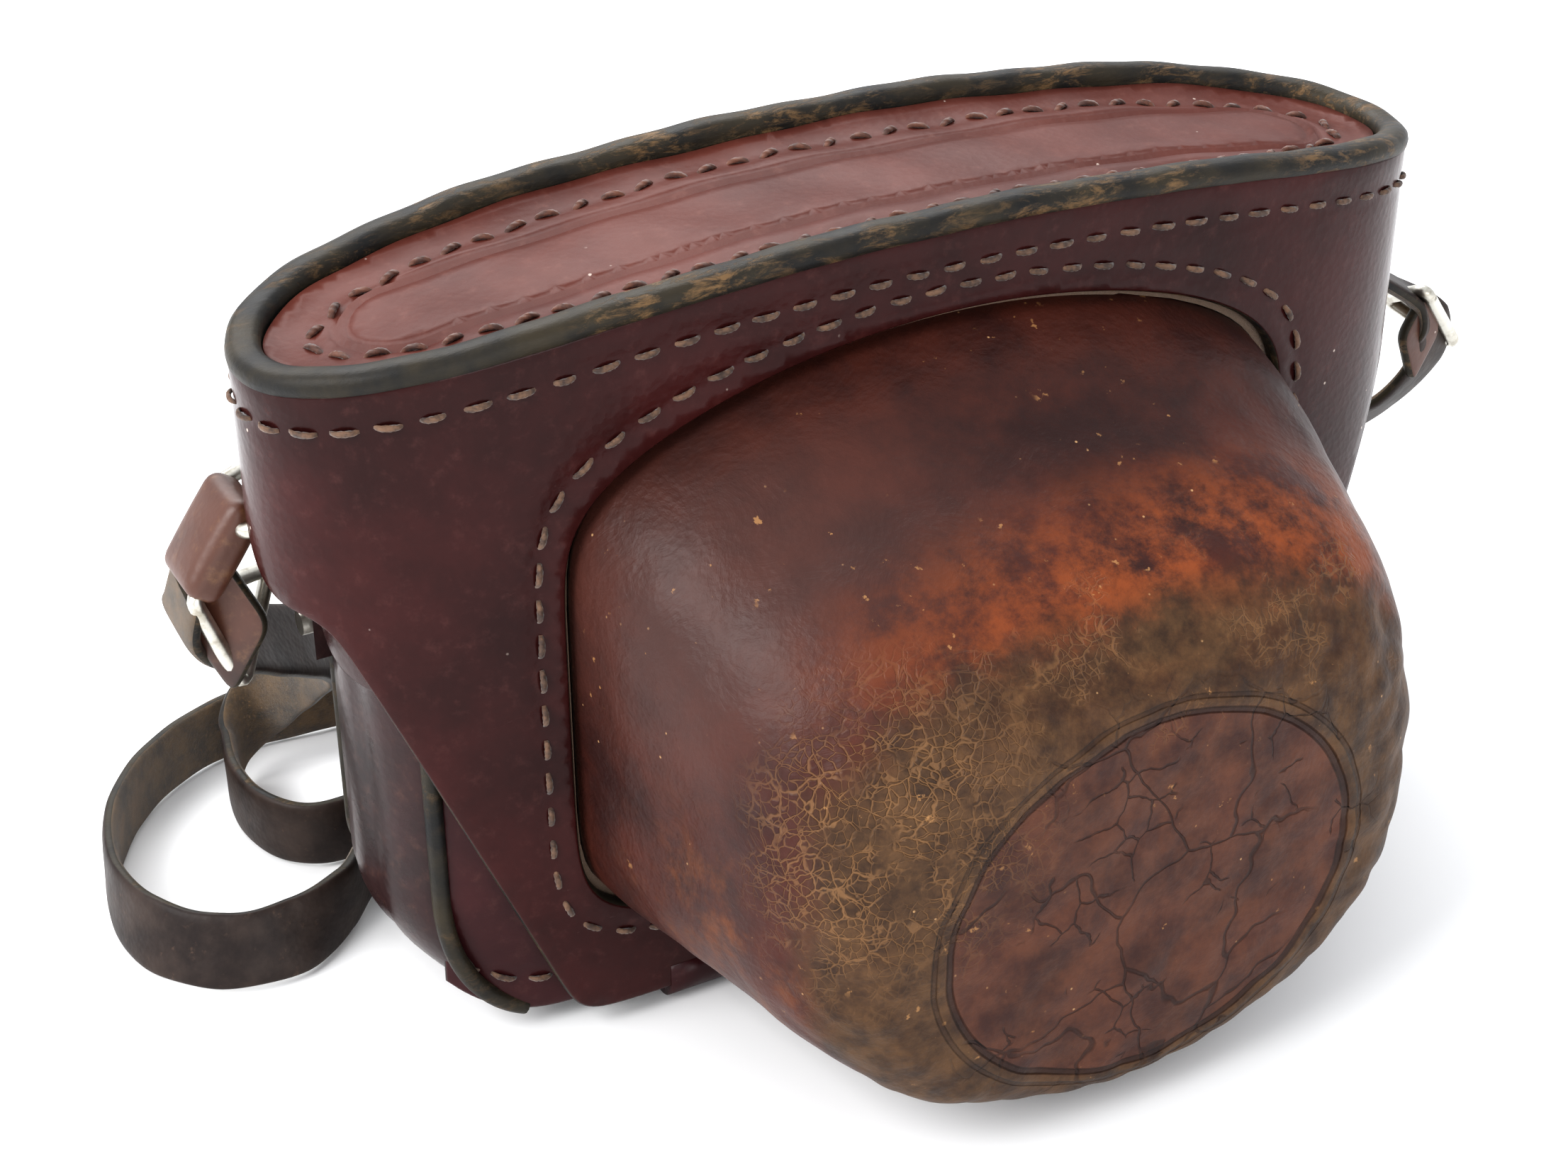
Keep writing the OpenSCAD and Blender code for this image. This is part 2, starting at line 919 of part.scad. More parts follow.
// A knurled knob standing on the shoulder, with a shaft going down.
module knob(x, d, top, shaft, foot) {
  grips = 30;
  translate([x, 0, 0])
    union() {
      difference() {
        translate([0, 0, shoulder_z + 0.3])
          cylinder(r = d / 2, h = top - shoulder_z - 0.3);
        for (i = [0 : grips - 1])
          rotate([0, 0, 360 * i / grips])
            translate([d / 2 + 0.25, 0, shoulder_z + 1.2])
              cylinder(r = 0.6, h = 20, $fn = 14);
        translate([0, 0, top - 0.6])
          cylinder(r = d / 2 - 2.6, h = 2);
      }
      translate([0, 0, foot])
        cylinder(r = shaft, h = shoulder_z - foot + 1);
    }
}

module wind_knob() {
  color("#cfccc4")
    knob(knob_offset, knob_d, 86.3, shaft_r, chamber_top);
}

module rewind_knob() {
  color("#cfccc4")
    knob(-knob_offset, knob_d, 86.3, shaft_r, chamber_top);
}

module speed_dial() {
  color("#cfccc4")
    knob(dial_x, 13, 83.5, 2, 70);
}

module take_up_spool() {
  color("#1d1d1d")
    translate([knob_offset, 0, 0])
      union() {
        translate([0, 0, plate_top + 3])
          cylinder(r = 5.5, h = chamber_top - plate_top - 3.3);
        for (z = [plate_top + 4, chamber_top - 2.5])
          translate([0, 0, z])
            cylinder(r = 10.5, h = 1.5);
        translate([0, 0, plate_top - 0.8])
          cylinder(r = 2, h = 5);
      }
}

module film_cartridge() {
  hub = 4 + running_gap;
  color("#3a3a3a")
    translate([-knob_offset, 0, 0])
      difference() {
        union() {
          translate([0, 0, plate_top + 6])
            cylinder(r = 11.5, h = 44);
          translate([0, 0, plate_top])
            cylinder(r = 6, h = 7);
        }
        translate([0, 0, plate_top - 1])
          cylinder(r = hub, h = 80);
      }
}

module cartridge_spool() {
  color("#8a8a86")
    translate([-knob_offset, 0, 0])
      union() {
        translate([0, 0, plate_top + 0.5])
          cylinder(r = 4, h = chamber_top - plate_top - 0.8);
        translate([0, 0, plate_top + 0.2])
          cylinder(r = 2, h = 1);
      }
}

module sprocket() {
  x = 31;
  teeth = 8;
  color("#b5b2aa")
    translate([x, 3, 0])
      union() {
        translate([0, 0, plate_top + 0.2])
          cylinder(r = 2, h = chamber_top - plate_top - 1);
        for (z = [plate_top + 10, plate_top + 38])
          translate([0, 0, z])
            union() {
              cylinder(r = 5, h = 4);
              for (i = [0 : teeth - 1])
                rotate([0, 0, 360 * i / teeth])
                  translate([5, 0, 2])
                    cube([1.8, 1, 1.2], center = true);
            }
      }
}

module release_collar() {
  color("#b5b2aa")
    translate([button_x, 0, shoulder_z])
      difference() {
        cylinder(r = 4.6, h = 2.2);
        translate([0, 0, -1])
          cylinder(r = button_r + running_gap, h = 5);
      }
}

module release_button() {
  color("#d6d3cb")
    translate([button_x, 0, 0])
      difference() {
        union() {
          translate([0, 0, 71])
            cylinder(r = button_r, h = 11.4);
          translate([0, 0, 71])
            cylinder(r = 3.4, h = 1);
        }
        translate([0, 0, 80.8])
          cylinder(r = 1, h = 3);
      }
}

module release_spring() {
  color("#8c8a85")
    translate([button_x, 0, 66.5])
      difference() {
        cylinder(r = 3, h = 2.3);
        translate([0, 0, -1])
          cylinder(r = 2.2, h = 5);
      }
}

module shutter_crate() {
  color("#191919")
    difference() {
      translate([-25, -12, plate_top + 0.5])
        cube([48, 20, 54]);
      translate([-18, -20, 26])
        cube([36, 40, 26]);
      on_lens(head_r + 1, 0, 20);
    }
}

module shutter_curtain() {
  color("#101010")
    translate([-24, 8.2, 24])
      cube([46, 0.8, 30]);
}

module pressure_plate() {
  color("#2b2b2b")
    translate([-24, 10.4, 22])
      cube([46, 1.4, 34]);
}

module lens_mount() {
  color("#cfccc4")
    lens_tube(23.5, base_r, camera_r, mount_y);
}

module lens_base() {
  color("#d2cfc8")
    lens_tube(base_r, head_r + slide_gap, camera_r, base_front);
}

module focus_ring() {
  ribs = 36;
  color("#cfccc4")
    difference() {
      lens_tube(22, base_r + running_gap, mount_y + 1, base_front - 3);
      for (i = [0 : ribs - 1])
        translate([0, 0, lens_height])
          rotate([0, 360 * i / ribs, 0])
            translate([22.3, -mount_y - 4, 0])
              rotate([90, 0, 0])
                cylinder(r = 0.8, h = 6, $fn = 14);
    }
}

module lens_head() {
  color("#d2cfc8")
    union() {
      lens_tube(head_r, 15, 16, head_front);
      lens_tube(head_r, 13, head_front, rim_front);
    }
}

module aperture_ring() {
  ribs = 40;
  color("#cfccc4")
    difference() {
      lens_tube(19.4, head_r + running_gap, 37.5, 43.5);
      for (i = [0 : ribs - 1])
        translate([0, 0, lens_height])
          rotate([0, 360 * i / ribs, 0])
            translate([19.7, -38.5, 0])
              rotate([90, 0, 0])
                cylinder(r = 0.7, h = 4, $fn = 14);
    }
}

module front_glass() {
  color("#7f90a8")
    intersection() {
      on_lens(15, 41, head_front);
      translate([0, -16, lens_height])
        sphere(r = 31, $fn = 96);
    }
}

module rear_glass() {
  color("#7f90a8")
    on_lens(15, 18, 21);
}

module iris() {
  color("#151515")
    lens_tube(15, 6, 31, 32);
}

cover_wall();
cover_left_end();
cover_right_end();
rim_welt();
top_plate();
snout();
snout_flange();
stud_post();
lower_front_panel();
lower_back_panel();
left_gusset();
right_gusset();
hinge_tongue();
base_liner();
screw_grommet();
retaining_screw();
closing_tab();
stud_cap();
tab_anchor();
left_lug_tab();
right_lug_tab();
left_ring();
right_ring();
left_keeper();
right_keeper();
left_buckle();
right_buckle();
lug_rivets();
neck_strap();
body_shell();
back_door();
bottom_plate();
top_cover();
tripod_bush();
accessory_shoe();
viewfinder_window();
rangefinder_window();
window_bezels();
eyepiece();
wind_knob();
take_up_spool();
sprocket();
rewind_knob();
film_cartridge();
cartridge_spool();
speed_dial();
release_collar();
release_button();
release_spring();
shutter_crate();
shutter_curtain();
pressure_plate();
lens_mount();
lens_base();
focus_ring();
lens_head();
aperture_ring();
front_glass();
rear_glass();
iris();
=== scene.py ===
"""Looks for the rangefinder camera in its leather ever-ready case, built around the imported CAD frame."""

import math

import bmesh
import bpy
import numpy as np
from mathutils import Matrix, Vector, noise
from mathutils.geometry import delaunay_2d_cdt


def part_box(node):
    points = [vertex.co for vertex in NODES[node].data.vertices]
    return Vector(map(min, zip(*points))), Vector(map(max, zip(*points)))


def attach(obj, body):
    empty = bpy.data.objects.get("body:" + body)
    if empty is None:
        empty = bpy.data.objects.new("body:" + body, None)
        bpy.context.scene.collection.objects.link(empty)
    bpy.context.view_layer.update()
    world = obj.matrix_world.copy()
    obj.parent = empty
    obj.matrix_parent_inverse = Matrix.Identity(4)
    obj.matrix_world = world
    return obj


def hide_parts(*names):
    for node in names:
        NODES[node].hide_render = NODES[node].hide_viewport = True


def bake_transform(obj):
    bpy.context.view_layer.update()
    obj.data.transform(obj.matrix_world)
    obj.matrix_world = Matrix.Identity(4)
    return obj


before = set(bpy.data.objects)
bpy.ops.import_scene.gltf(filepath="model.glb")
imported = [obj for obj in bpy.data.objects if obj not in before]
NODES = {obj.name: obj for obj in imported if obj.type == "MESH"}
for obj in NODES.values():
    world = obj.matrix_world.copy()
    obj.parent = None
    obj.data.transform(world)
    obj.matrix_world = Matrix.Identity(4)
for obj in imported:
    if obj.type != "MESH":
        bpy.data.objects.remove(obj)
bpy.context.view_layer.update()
MM = 0.001
rng = np.random.default_rng(7)


def high(node):
    return np.array(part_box(node)[1]) / MM


def low(node):
    return np.array(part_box(node)[0]) / MM


# ---------------------------------------------------------------- sizes, in millimetres
CASE_A, CASE_B = high("cover_right_end")[0], high("cover_right_end")[1]
RIM_TOP = high("cover_wall")[2]
SKIRT_Z = low("cover_wall")[2]
ARCH = 8.0
RIM_R = (CASE_A**2 + ARCH**2) / (2 * ARCH)
CASE_BOW, HALF_BOW = 5.6, 9.0
LEATHER = 2.0
HALF_A, HALF_B = high("right_gusset")[0], high("lower_back_panel")[1]
HALF_FLOOR = high("hinge_tongue")[2]
FLAP_FOOT, FLAP_KNEE = 49.0, (74.2, 61.0)
BACK_EDGE = (11.0, 84.6)
END_EDGE_Y = -6.0
TRAY = 3.0

# The snout's sections, as in the CAD: forward, half width, low, high, arch, upper and lower fullness, shift
STATIONS = np.array([
    [18, 48.4, 16.2, 73, 12, 8, 7, 0],
    [28, 47.3, 13, 72, 9, 6.5, 4.6, 0],
    [38, 45.8, 9.5, 69.5, 6, 5, 3.3, 0.3],
    [47, 44, 6, 67, 4, 4.4, 2.7, 0.6],
    [54, 42, 4, 64, 3, 3.8, 2.4, 1],
    [59.5, 39, 3.6, 60, 2, 3.2, 2.25, 1.2],
    [63, 34.5, 5.8, 56.5, 1, 2.7, 2.15, 1.2],
])

# The strap's route: place and direction across, repeated from the CAD
ROUTE = [
    ((-83.2, 11, 57.3), (0, 1, 0)),
    ((-84, 12.5, 51.5), (0, 1, 0.1)),
    ((-80, 17, 46), (0, 1, 0.4)),
    ((-72, 23, 40), (0, 1, 0.8)),
    ((-64, 30, 33.5), (0, 0.8, 1)),
    ((-59.5, 38, 26.5), (0, 0.3, 1)),
    ((-60.5, 46.5, 19), (0, 0.2, 1)),
    ((-64.5, 52, 12), (0, 0.2, 1)),
    ((-69.5, 50.5, 7.5), (0, 0.1, 1)),
    ((-72, 43, 5.4), (0, 0, 1)),
    ((-71, 34, 5.3), (0, 0, 1)),
    ((-66.5, 28.5, 5.3), (0, 0, 1)),
    ((-59, 28, 5.3), (0, 0, 1)),
    ((-45, 30, 5.3), (0, 0, 1)),
    ((-20, 30, 5.3), (0, 0, 1)),
    ((15, 30, 5.3), (0, 0, 1)),
    ((45, 30, 5.3), (0, 0, 1)),
    ((52.5, 36, 5.3), (0, 0, 1)),
    ((45, 42, 5.3), (0, 0, 1)),
    ((15, 42, 5.3), (0, 0, 1)),
    ((-20, 42, 5.3), (0, 0, 1)),
    ((-38, 42, 5.3), (0, 0, 1)),
    ((-45.5, 48, 5.3), (0, 0, 1)),
    ((-38, 54, 5.3), (0, 0, 1)),
    ((-10, 54, 5.3), (0, 0, 1)),
    ((20, 54, 5.3), (0, 0, 1)),
    ((45, 54, 5.3), (0, 0, 1)),
    ((53, 60, 5.3), (0, 0, 1)),
    ((45, 66, 5.3), (0, 0, 1)),
    ((15, 66, 5.3), (0, 0, 1)),
    ((-20, 63, 5.3), (0, 0, 1)),
    ((-48, 58.5, 5.3), (0, 0, 1)),
    ((-67, 59, 5.3), (0, 0, 1)),
    ((-80, 53, 5.3), (0, 0, 1)),
    ((-89, 42, 5.3), (0, 0, 1)),
    ((-93, 29, 5.3), (0.1, 0, 1)),
    ((-91.5, 18, 5.2), (0.3, 0.1, 1)),
    ((-85, 10.5, 5.1), (0.3, 0.4, 1)),
    ((-76, 9, 5.2), (0, 0.4, 1)),
    ((-68, 13, 5.3), (0, 0, 1)),
    ((-61, 20, 5.3), (0, 0, 1)),
    ((-49, 24, 5.3), (0, 0, 1)),
    ((-15, 24, 5.3), (0, 0, 1)),
    ((20, 24, 5.3), (0, 0, 1)),
    ((50, 24, 5.4), (0, 0, 1)),
    ((63, 25, 9), (0, 0, 1)),
    ((73, 25, 18), (-0.1, -0.1, 1)),
    ((82, 22, 26), (-0.3, -0.3, 0.9)),
    ((90, 17, 31.5), (-0.6, -0.4, 0.7)),
    ((96.5, 12.5, 36.5), (-0.8, -0.5, 0.4)),
    ((100.5, 9.5, 43.5), (-0.9, -0.3, 0.1)),
    ((100.5, 9, 49.5), (-0.9, -0.35, 0)),
    ((96.5, 10.3, 54.5), (-0.3, -1, 0)),
    ((88.9, 11, 59.3), (0, -1, 0)),
]
STRAP_W, STRAP_T = 10.0, 2.2


# ---------------------------------------------------------------- curves and meshes
def unit(v):
    v = np.asarray(v, float)
    return v / np.maximum(np.linalg.norm(v, axis=-1, keepdims=True), 1e-12)


class Outline:
    """A closed outline in plan, measured by arc length from its front middle towards +X."""

    def __init__(self, a, b, bow):
        flat = np.linspace(0, 0.96, 240) ** (bow / 2)
        corner = np.cos(np.linspace(np.arccos(0.96 ** (bow / 2)), 0, 80))[1:]
        c = np.concatenate([flat, corner])
        x = a * c ** (2 / bow)
        y = -b * np.sqrt(np.maximum(0, 1 - c * c))
        quarter = np.stack([x, y], 1)
        right = np.concatenate([quarter, (quarter * [1, -1])[::-1][1:]])
        left = (right * [-1, 1])[::-1][1:-1]
        loop = np.concatenate([right, left, right[:1]])
        s = run_length(loop)
        self.total = s[-1]
        self.s = np.linspace(0, self.total, 4001)
        self.p = np.stack([np.interp(self.s, s, loop[:, k]) for k in range(2)], 1)
        t = np.roll(self.p[:-1], -12, axis=0) - np.roll(self.p[:-1], 12, axis=0)
        n = unit(np.stack([t[:, 1], -t[:, 0]], 1))
        self.n = np.concatenate([n, n[:1]])
        self.front_x = self.p[: 1001, 0]

    def at(self, u):
        w = np.mod(np.asarray(u, float), self.total)
        p = np.stack([np.interp(w, self.s, self.p[:, k]) for k in range(2)], -1)
        n = np.stack([np.interp(w, self.s, self.n[:, k]) for k in range(2)], -1)
        return p, unit(n)

    def front(self, x):
        """Arc length of the front point at x."""
        return np.sign(x) * np.interp(np.abs(x), self.front_x, self.s[:1001])


def wall_place(outline):
    def place(uv, off):
        p, n = outline.at(uv[:, 0])
        q = p + n * off[:, None]
        return np.stack([q[:, 0], q[:, 1], uv[:, 1]], 1)
    return place


def plane_place(origin, ex, ey):
    origin, ex, ey = np.array(origin, float), unit(ex), unit(ey)
    en = np.cross(ex, ey)

    def place(uv, off):
        return origin + uv[:, :1] * ex + uv[:, 1:2] * ey + off[:, None] * en
    return place


def fillet(points, radii, n=7):
    """A closed polygon with its corners rounded by curves of the given reach."""
    points = np.asarray(points, float)
    radii = np.broadcast_to(radii, len(points))
    out = []
    for i, p in enumerate(points):
        r = radii[i]
        if r <= 0:
            out.append(p)
            continue
        a, b = points[i - 1], points[(i + 1) % len(points)]
        p0 = p + unit(a - p) * min(r, np.linalg.norm(a - p) * 0.48)
        p1 = p + unit(b - p) * min(r, np.linalg.norm(b - p) * 0.48)
        for t in np.linspace(0, 1, n):
            out.append((1 - t) ** 2 * p0 + 2 * t * (1 - t) * p + t * t * p1)
    return np.array(out)


def resample(loop, spacing, ring=True):
    loop = np.asarray(loop, float)
    if ring:
        loop = closed(loop)
    s = run_length(loop)
    n = max(4, int(round(s[-1] / spacing)))
    t = np.linspace(0, s[-1], n + 1)
    out = np.stack([np.interp(t, s, loop[:, k]) for k in range(loop.shape[1])], 1)
    return out[:-1] if ring else out


def inside(points, loop):
    """Which points lie inside a closed polygon."""
    x, y = points[:, 0][:, None], points[:, 1][:, None]
    a, b = loop, np.roll(loop, -1, axis=0)
    result = np.zeros(len(points), bool)
    for k in range(0, len(points), 4000):
        xs, ys = x[k : k + 4000], y[k : k + 4000]
        cross = (a[:, 1] > ys) != (b[:, 1] > ys)
        dy = np.where(b[:, 1] == a[:, 1], 1e-12, b[:, 1] - a[:, 1])
        at = a[:, 0] + (ys - a[:, 1]) * (b[:, 0] - a[:, 0]) / dy
        result[k : k + 4000] = (cross & (xs < at)).sum(1) % 2 == 1
    return result


def distance(points, line):
    """Distance from 2-D points to an open or closed polyline."""
    a, b = line[:-1], line[1:]
    d = b - a
    dd = np.maximum((d * d).sum(1), 1e-12)
    out = np.empty(len(points))
    for k in range(0, len(points), 4000):
        p = points[k : k + 4000][:, None]
        t = np.clip(((p - a) * d).sum(2) / dd, 0, 1)
        out[k : k + 4000] = np.linalg.norm(p - (a + t[..., None] * d), axis=2).min(1)
    return out


def level(normals):
    """Plan normals as 3-D normals."""
    return np.concatenate([normals, np.zeros((len(normals), 1))], 1)


def closed(loop):
    return np.concatenate([loop, loop[:1]])


def run_length(line):
    """Distance along an open line at each of its points."""
    return np.concatenate([[0], np.cumsum(np.linalg.norm(np.diff(line, axis=0), axis=1))])


def link_rings(first, second, count):
    """Four-sided faces between two rings of points, given by their first indices."""
    return [(first + k, first + (k + 1) % count, second + (k + 1) % count, second + k) for k in range(count)]


def area(loop):
    a, b = loop, np.roll(loop, -1, axis=0)
    return 0.5 * np.sum(a[:, 0] * b[:, 1] - a[:, 1] * b[:, 0])


def make(name, verts, faces, material, smooth=True, weld=0.0, tones=None):
    mesh = bpy.data.meshes.new(name)
    points = [tuple(float(c) * MM for c in v) for v in verts]
    mesh.from_pydata(points, [], [tuple(int(i) for i in f) for f in faces])
    obj = bpy.data.objects.new(name, mesh)
    bpy.context.scene.collection.objects.link(obj)
    for look in material if isinstance(material, (list, tuple)) else [material]:
        mesh.materials.append(look)
    if tones is not None:
        mesh.polygons.foreach_set("material_index", tones)
    bm = bmesh.new()
    bm.from_mesh(mesh)
    if weld:
        bmesh.ops.remove_doubles(bm, verts=bm.verts, dist=weld * MM)
    bmesh.ops.recalc_face_normals(bm, faces=bm.faces)
    bm.to_mesh(mesh)
    bm.free()
    mesh.polygons.foreach_set("use_smooth", [smooth] * len(mesh.polygons))
    return obj


def leather(
    name, loops, place, material, thick=LEATHER, edge=0.7, step=1.6, relief=None, lines=(), seam=None,
):
    """A cut piece of leather: flat loops placed on a surface, with rounded edges and grooves along lines."""
    rings, ring_n = [], []
    for i, loop in enumerate(loops):
        loop = resample(loop, step * 0.6) if seam is None else np.asarray(loop, float)
        if (area(loop) > 0) != (i == 0):
            loop = loop[::-1]
        t = np.roll(loop, -1, axis=0) - np.roll(loop, 1, axis=0)
        n = unit(np.stack([-t[:, 1], t[:, 0]], 1))
        if seam is not None:
            on = np.abs(np.abs(loop[:, 0]) - seam) < 1e-6
            n[on, 0] = 0
            n[on, 1] = np.where(np.abs(n[on, 1]) > 0.25, np.sign(n[on, 1]), 0)
        rings.append(loop)
        ring_n.append(n)
    inner = [r + n * edge for r, n in zip(rings, ring_n)]
    lo, hi = inner[0].min(0), inner[0].max(0)
    gx = np.arange(lo[0] + step * 0.5, hi[0], step)
    gy = np.arange(lo[1] + step * 0.5, hi[1], step * 0.87)
    grid = np.stack(np.meshgrid(gx, gy), -1).astype(float)
    grid[1::2, :, 0] += step * 0.5
    grid = grid.reshape(-1, 2)
    keep = inside(grid, inner[0])
    for loop in inner[1:]:
        keep &= ~inside(grid, loop)
    grid = grid[keep]
    for loop in inner:
        grid = grid[distance(grid, closed(loop)) > step * 0.45]
    extra = []
    for line, width in lines:
        line = resample(line, width * 1.6, ring=False)
        t = np.gradient(line, axis=0)
        n = unit(np.stack([-t[:, 1], t[:, 0]], 1))
        for k in (-1, -0.5, 0, 0.5, 1):
            extra.append(line + n * width * k)
        grid = grid[distance(grid, line) > width * 1.5]
    if extra:
        extra = np.concatenate(extra)
        ok = inside(extra, inner[0])
        for loop in inner[1:]:
            ok &= ~inside(extra, loop)
        grid = np.concatenate([grid, extra[ok]])
    coords = np.concatenate(inner + [grid])
    edges, start = [], 0
    for loop in inner:
        n = len(loop)
        edges += [(start + k, start + (k + 1) % n) for k in range(n)]
        start += n
    out = delaunay_2d_cdt([Vector(c) for c in coords], edges, [], 0, 1e-5)
    flat = np.array([tuple(v) for v in out[0]])
    tris = np.array([list(f) for f in out[2]])
    mid = flat[tris].mean(1)
    good = inside(mid, inner[0])
    for loop in inner[1:]:
        good &= ~inside(mid, loop)
    tris = tris[good]
    lift = np.zeros(len(flat)) if relief is None else relief(flat)
    index = {}
    for new, old in enumerate(out[3]):
        for o in old:
            index[o] = new
    top = place(flat, lift)
    bottom = place(flat, np.full(len(flat), -thick))
    n0 = len(flat)
    verts = [top, bottom]
    faces = [tuple(t) for t in tris] + [tuple(t[::-1] + n0) for t in tris]
    tones = [0] * len(tris) + [2] * len(tris)
    count = 2 * n0
    start = 0
    steps = 7
    for loop, n in zip(rings, ring_n):
        m = len(loop)
        sewn = np.zeros(m, bool) if seam is None else np.abs(np.abs(loop[:, 0]) - seam) < 1e-6
        first = [index[start + k] for k in range(m)]
        prev = first
        for k in range(1, steps + 1):
            if k == steps:
                here = [f + n0 for f in first]
            else:
                a = math.pi * k / steps
                uv = loop + n * edge * (1 - math.sin(a))
                d = -thick / 2 * (1 - math.cos(a)) + lift[first] * max(0.0, math.cos(a))
                verts.append(place(uv, d))
                here = list(range(count, count + m))
                count += m
            for i in range(m):
                j = (i + 1) % m
                if sewn[i] and sewn[j]:
                    continue
                faces.append((prev[i], here[i], here[j], prev[j]))
                tones.append(0 if k == 1 else 1)
            prev = here
        start += m
    weld = 0 if seam is None else 0.02
    return make(name, np.concatenate(verts), faces, [material, CUT_EDGE, LINING], weld=weld, tones=tones)


def tube(name, points, radius, material, ring=False, sides=12):
    """A round wire along points."""
    p = np.asarray(points, float)
    n = len(p)
    t = unit(np.roll(p, -1, axis=0) - np.roll(p, 1, axis=0)) if ring else unit(np.gradient(p, axis=0))
    up = np.array([0.0, 0.0, 1.0]) if abs(t[0, 2]) < 0.9 else np.array([1.0, 0.0, 0.0])
    verts, faces = [], []
    w = unit(np.cross(t[0], up))
    for i in range(n):
        w = unit(w - t[i] * np.dot(w, t[i]))
        h = np.cross(t[i], w)
        for k in range(sides):
            a = 2 * math.pi * k / sides
            verts.append(p[i] + radius * (math.cos(a) * w + math.sin(a) * h))
    for i in range(n if ring else n - 1):
        faces += link_rings(i * sides, (i + 1) % n * sides, sides)
    if not ring:
        faces.append(tuple(range(sides))[::-1])
        faces.append(tuple((n - 1) * sides + k for k in range(sides)))
    return make(name, verts, faces, material)


def stitches(
    name, path, normals, material, pitch=4.3, size=0.42, cover=0.8, lean=0.0, jitter=0.12, flip=False,
):
    """A row of thread stitches along a path on a surface, each dipping into the leather at its ends."""
    path, normals = np.asarray(path, float), unit(normals)
    s = run_length(path)
    count = int(s[-1] / pitch)
    verts, faces = [], []
    sides, rings = 7, 8
    for i in range(count):
        mid = (i + 0.5) * s[-1] / count + rng.normal(0, jitter * 0.5)
        p, q, o = (
            np.array([np.interp(at, s, path[:, k]) for k in range(3)])
            for at in (mid, min(mid + 0.5, s[-1]), max(mid - 0.5, 0))
        )
        n = unit(np.array([np.interp(mid, s, normals[:, k]) for k in range(3)]))
        t = unit(q - o)
        b = np.cross(n, t)
        a = lean + rng.normal(0, jitter)
        if flip and i % 2:
            a = -a
        d = t * math.cos(a) + b * math.sin(a)
        w = np.cross(n, d)
        length = pitch * cover * (1 + rng.normal(0, 0.06))
        base = len(verts)
        for k in range(rings):
            f = k / (rings - 1) * 2 - 1
            lift = size * (0.62 - 1.5 * abs(f) ** 3)
            r = size * (1 - 0.35 * f * f)
            c = p + d * length / 2 * f + n * lift
            for m in range(sides):
                g = 2 * math.pi * m / sides + k * 0.5
                verts.append(c + r * (math.cos(g) * w + 0.75 * math.sin(g) * n))
        for k in range(rings - 1):
            faces += link_rings(base + k * sides, base + (k + 1) * sides, sides)
        faces.append(tuple(base + m for m in range(sides))[::-1])
        faces.append(tuple(base + (rings - 1) * sides + m for m in range(sides)))
    return make(name, verts, faces, material)


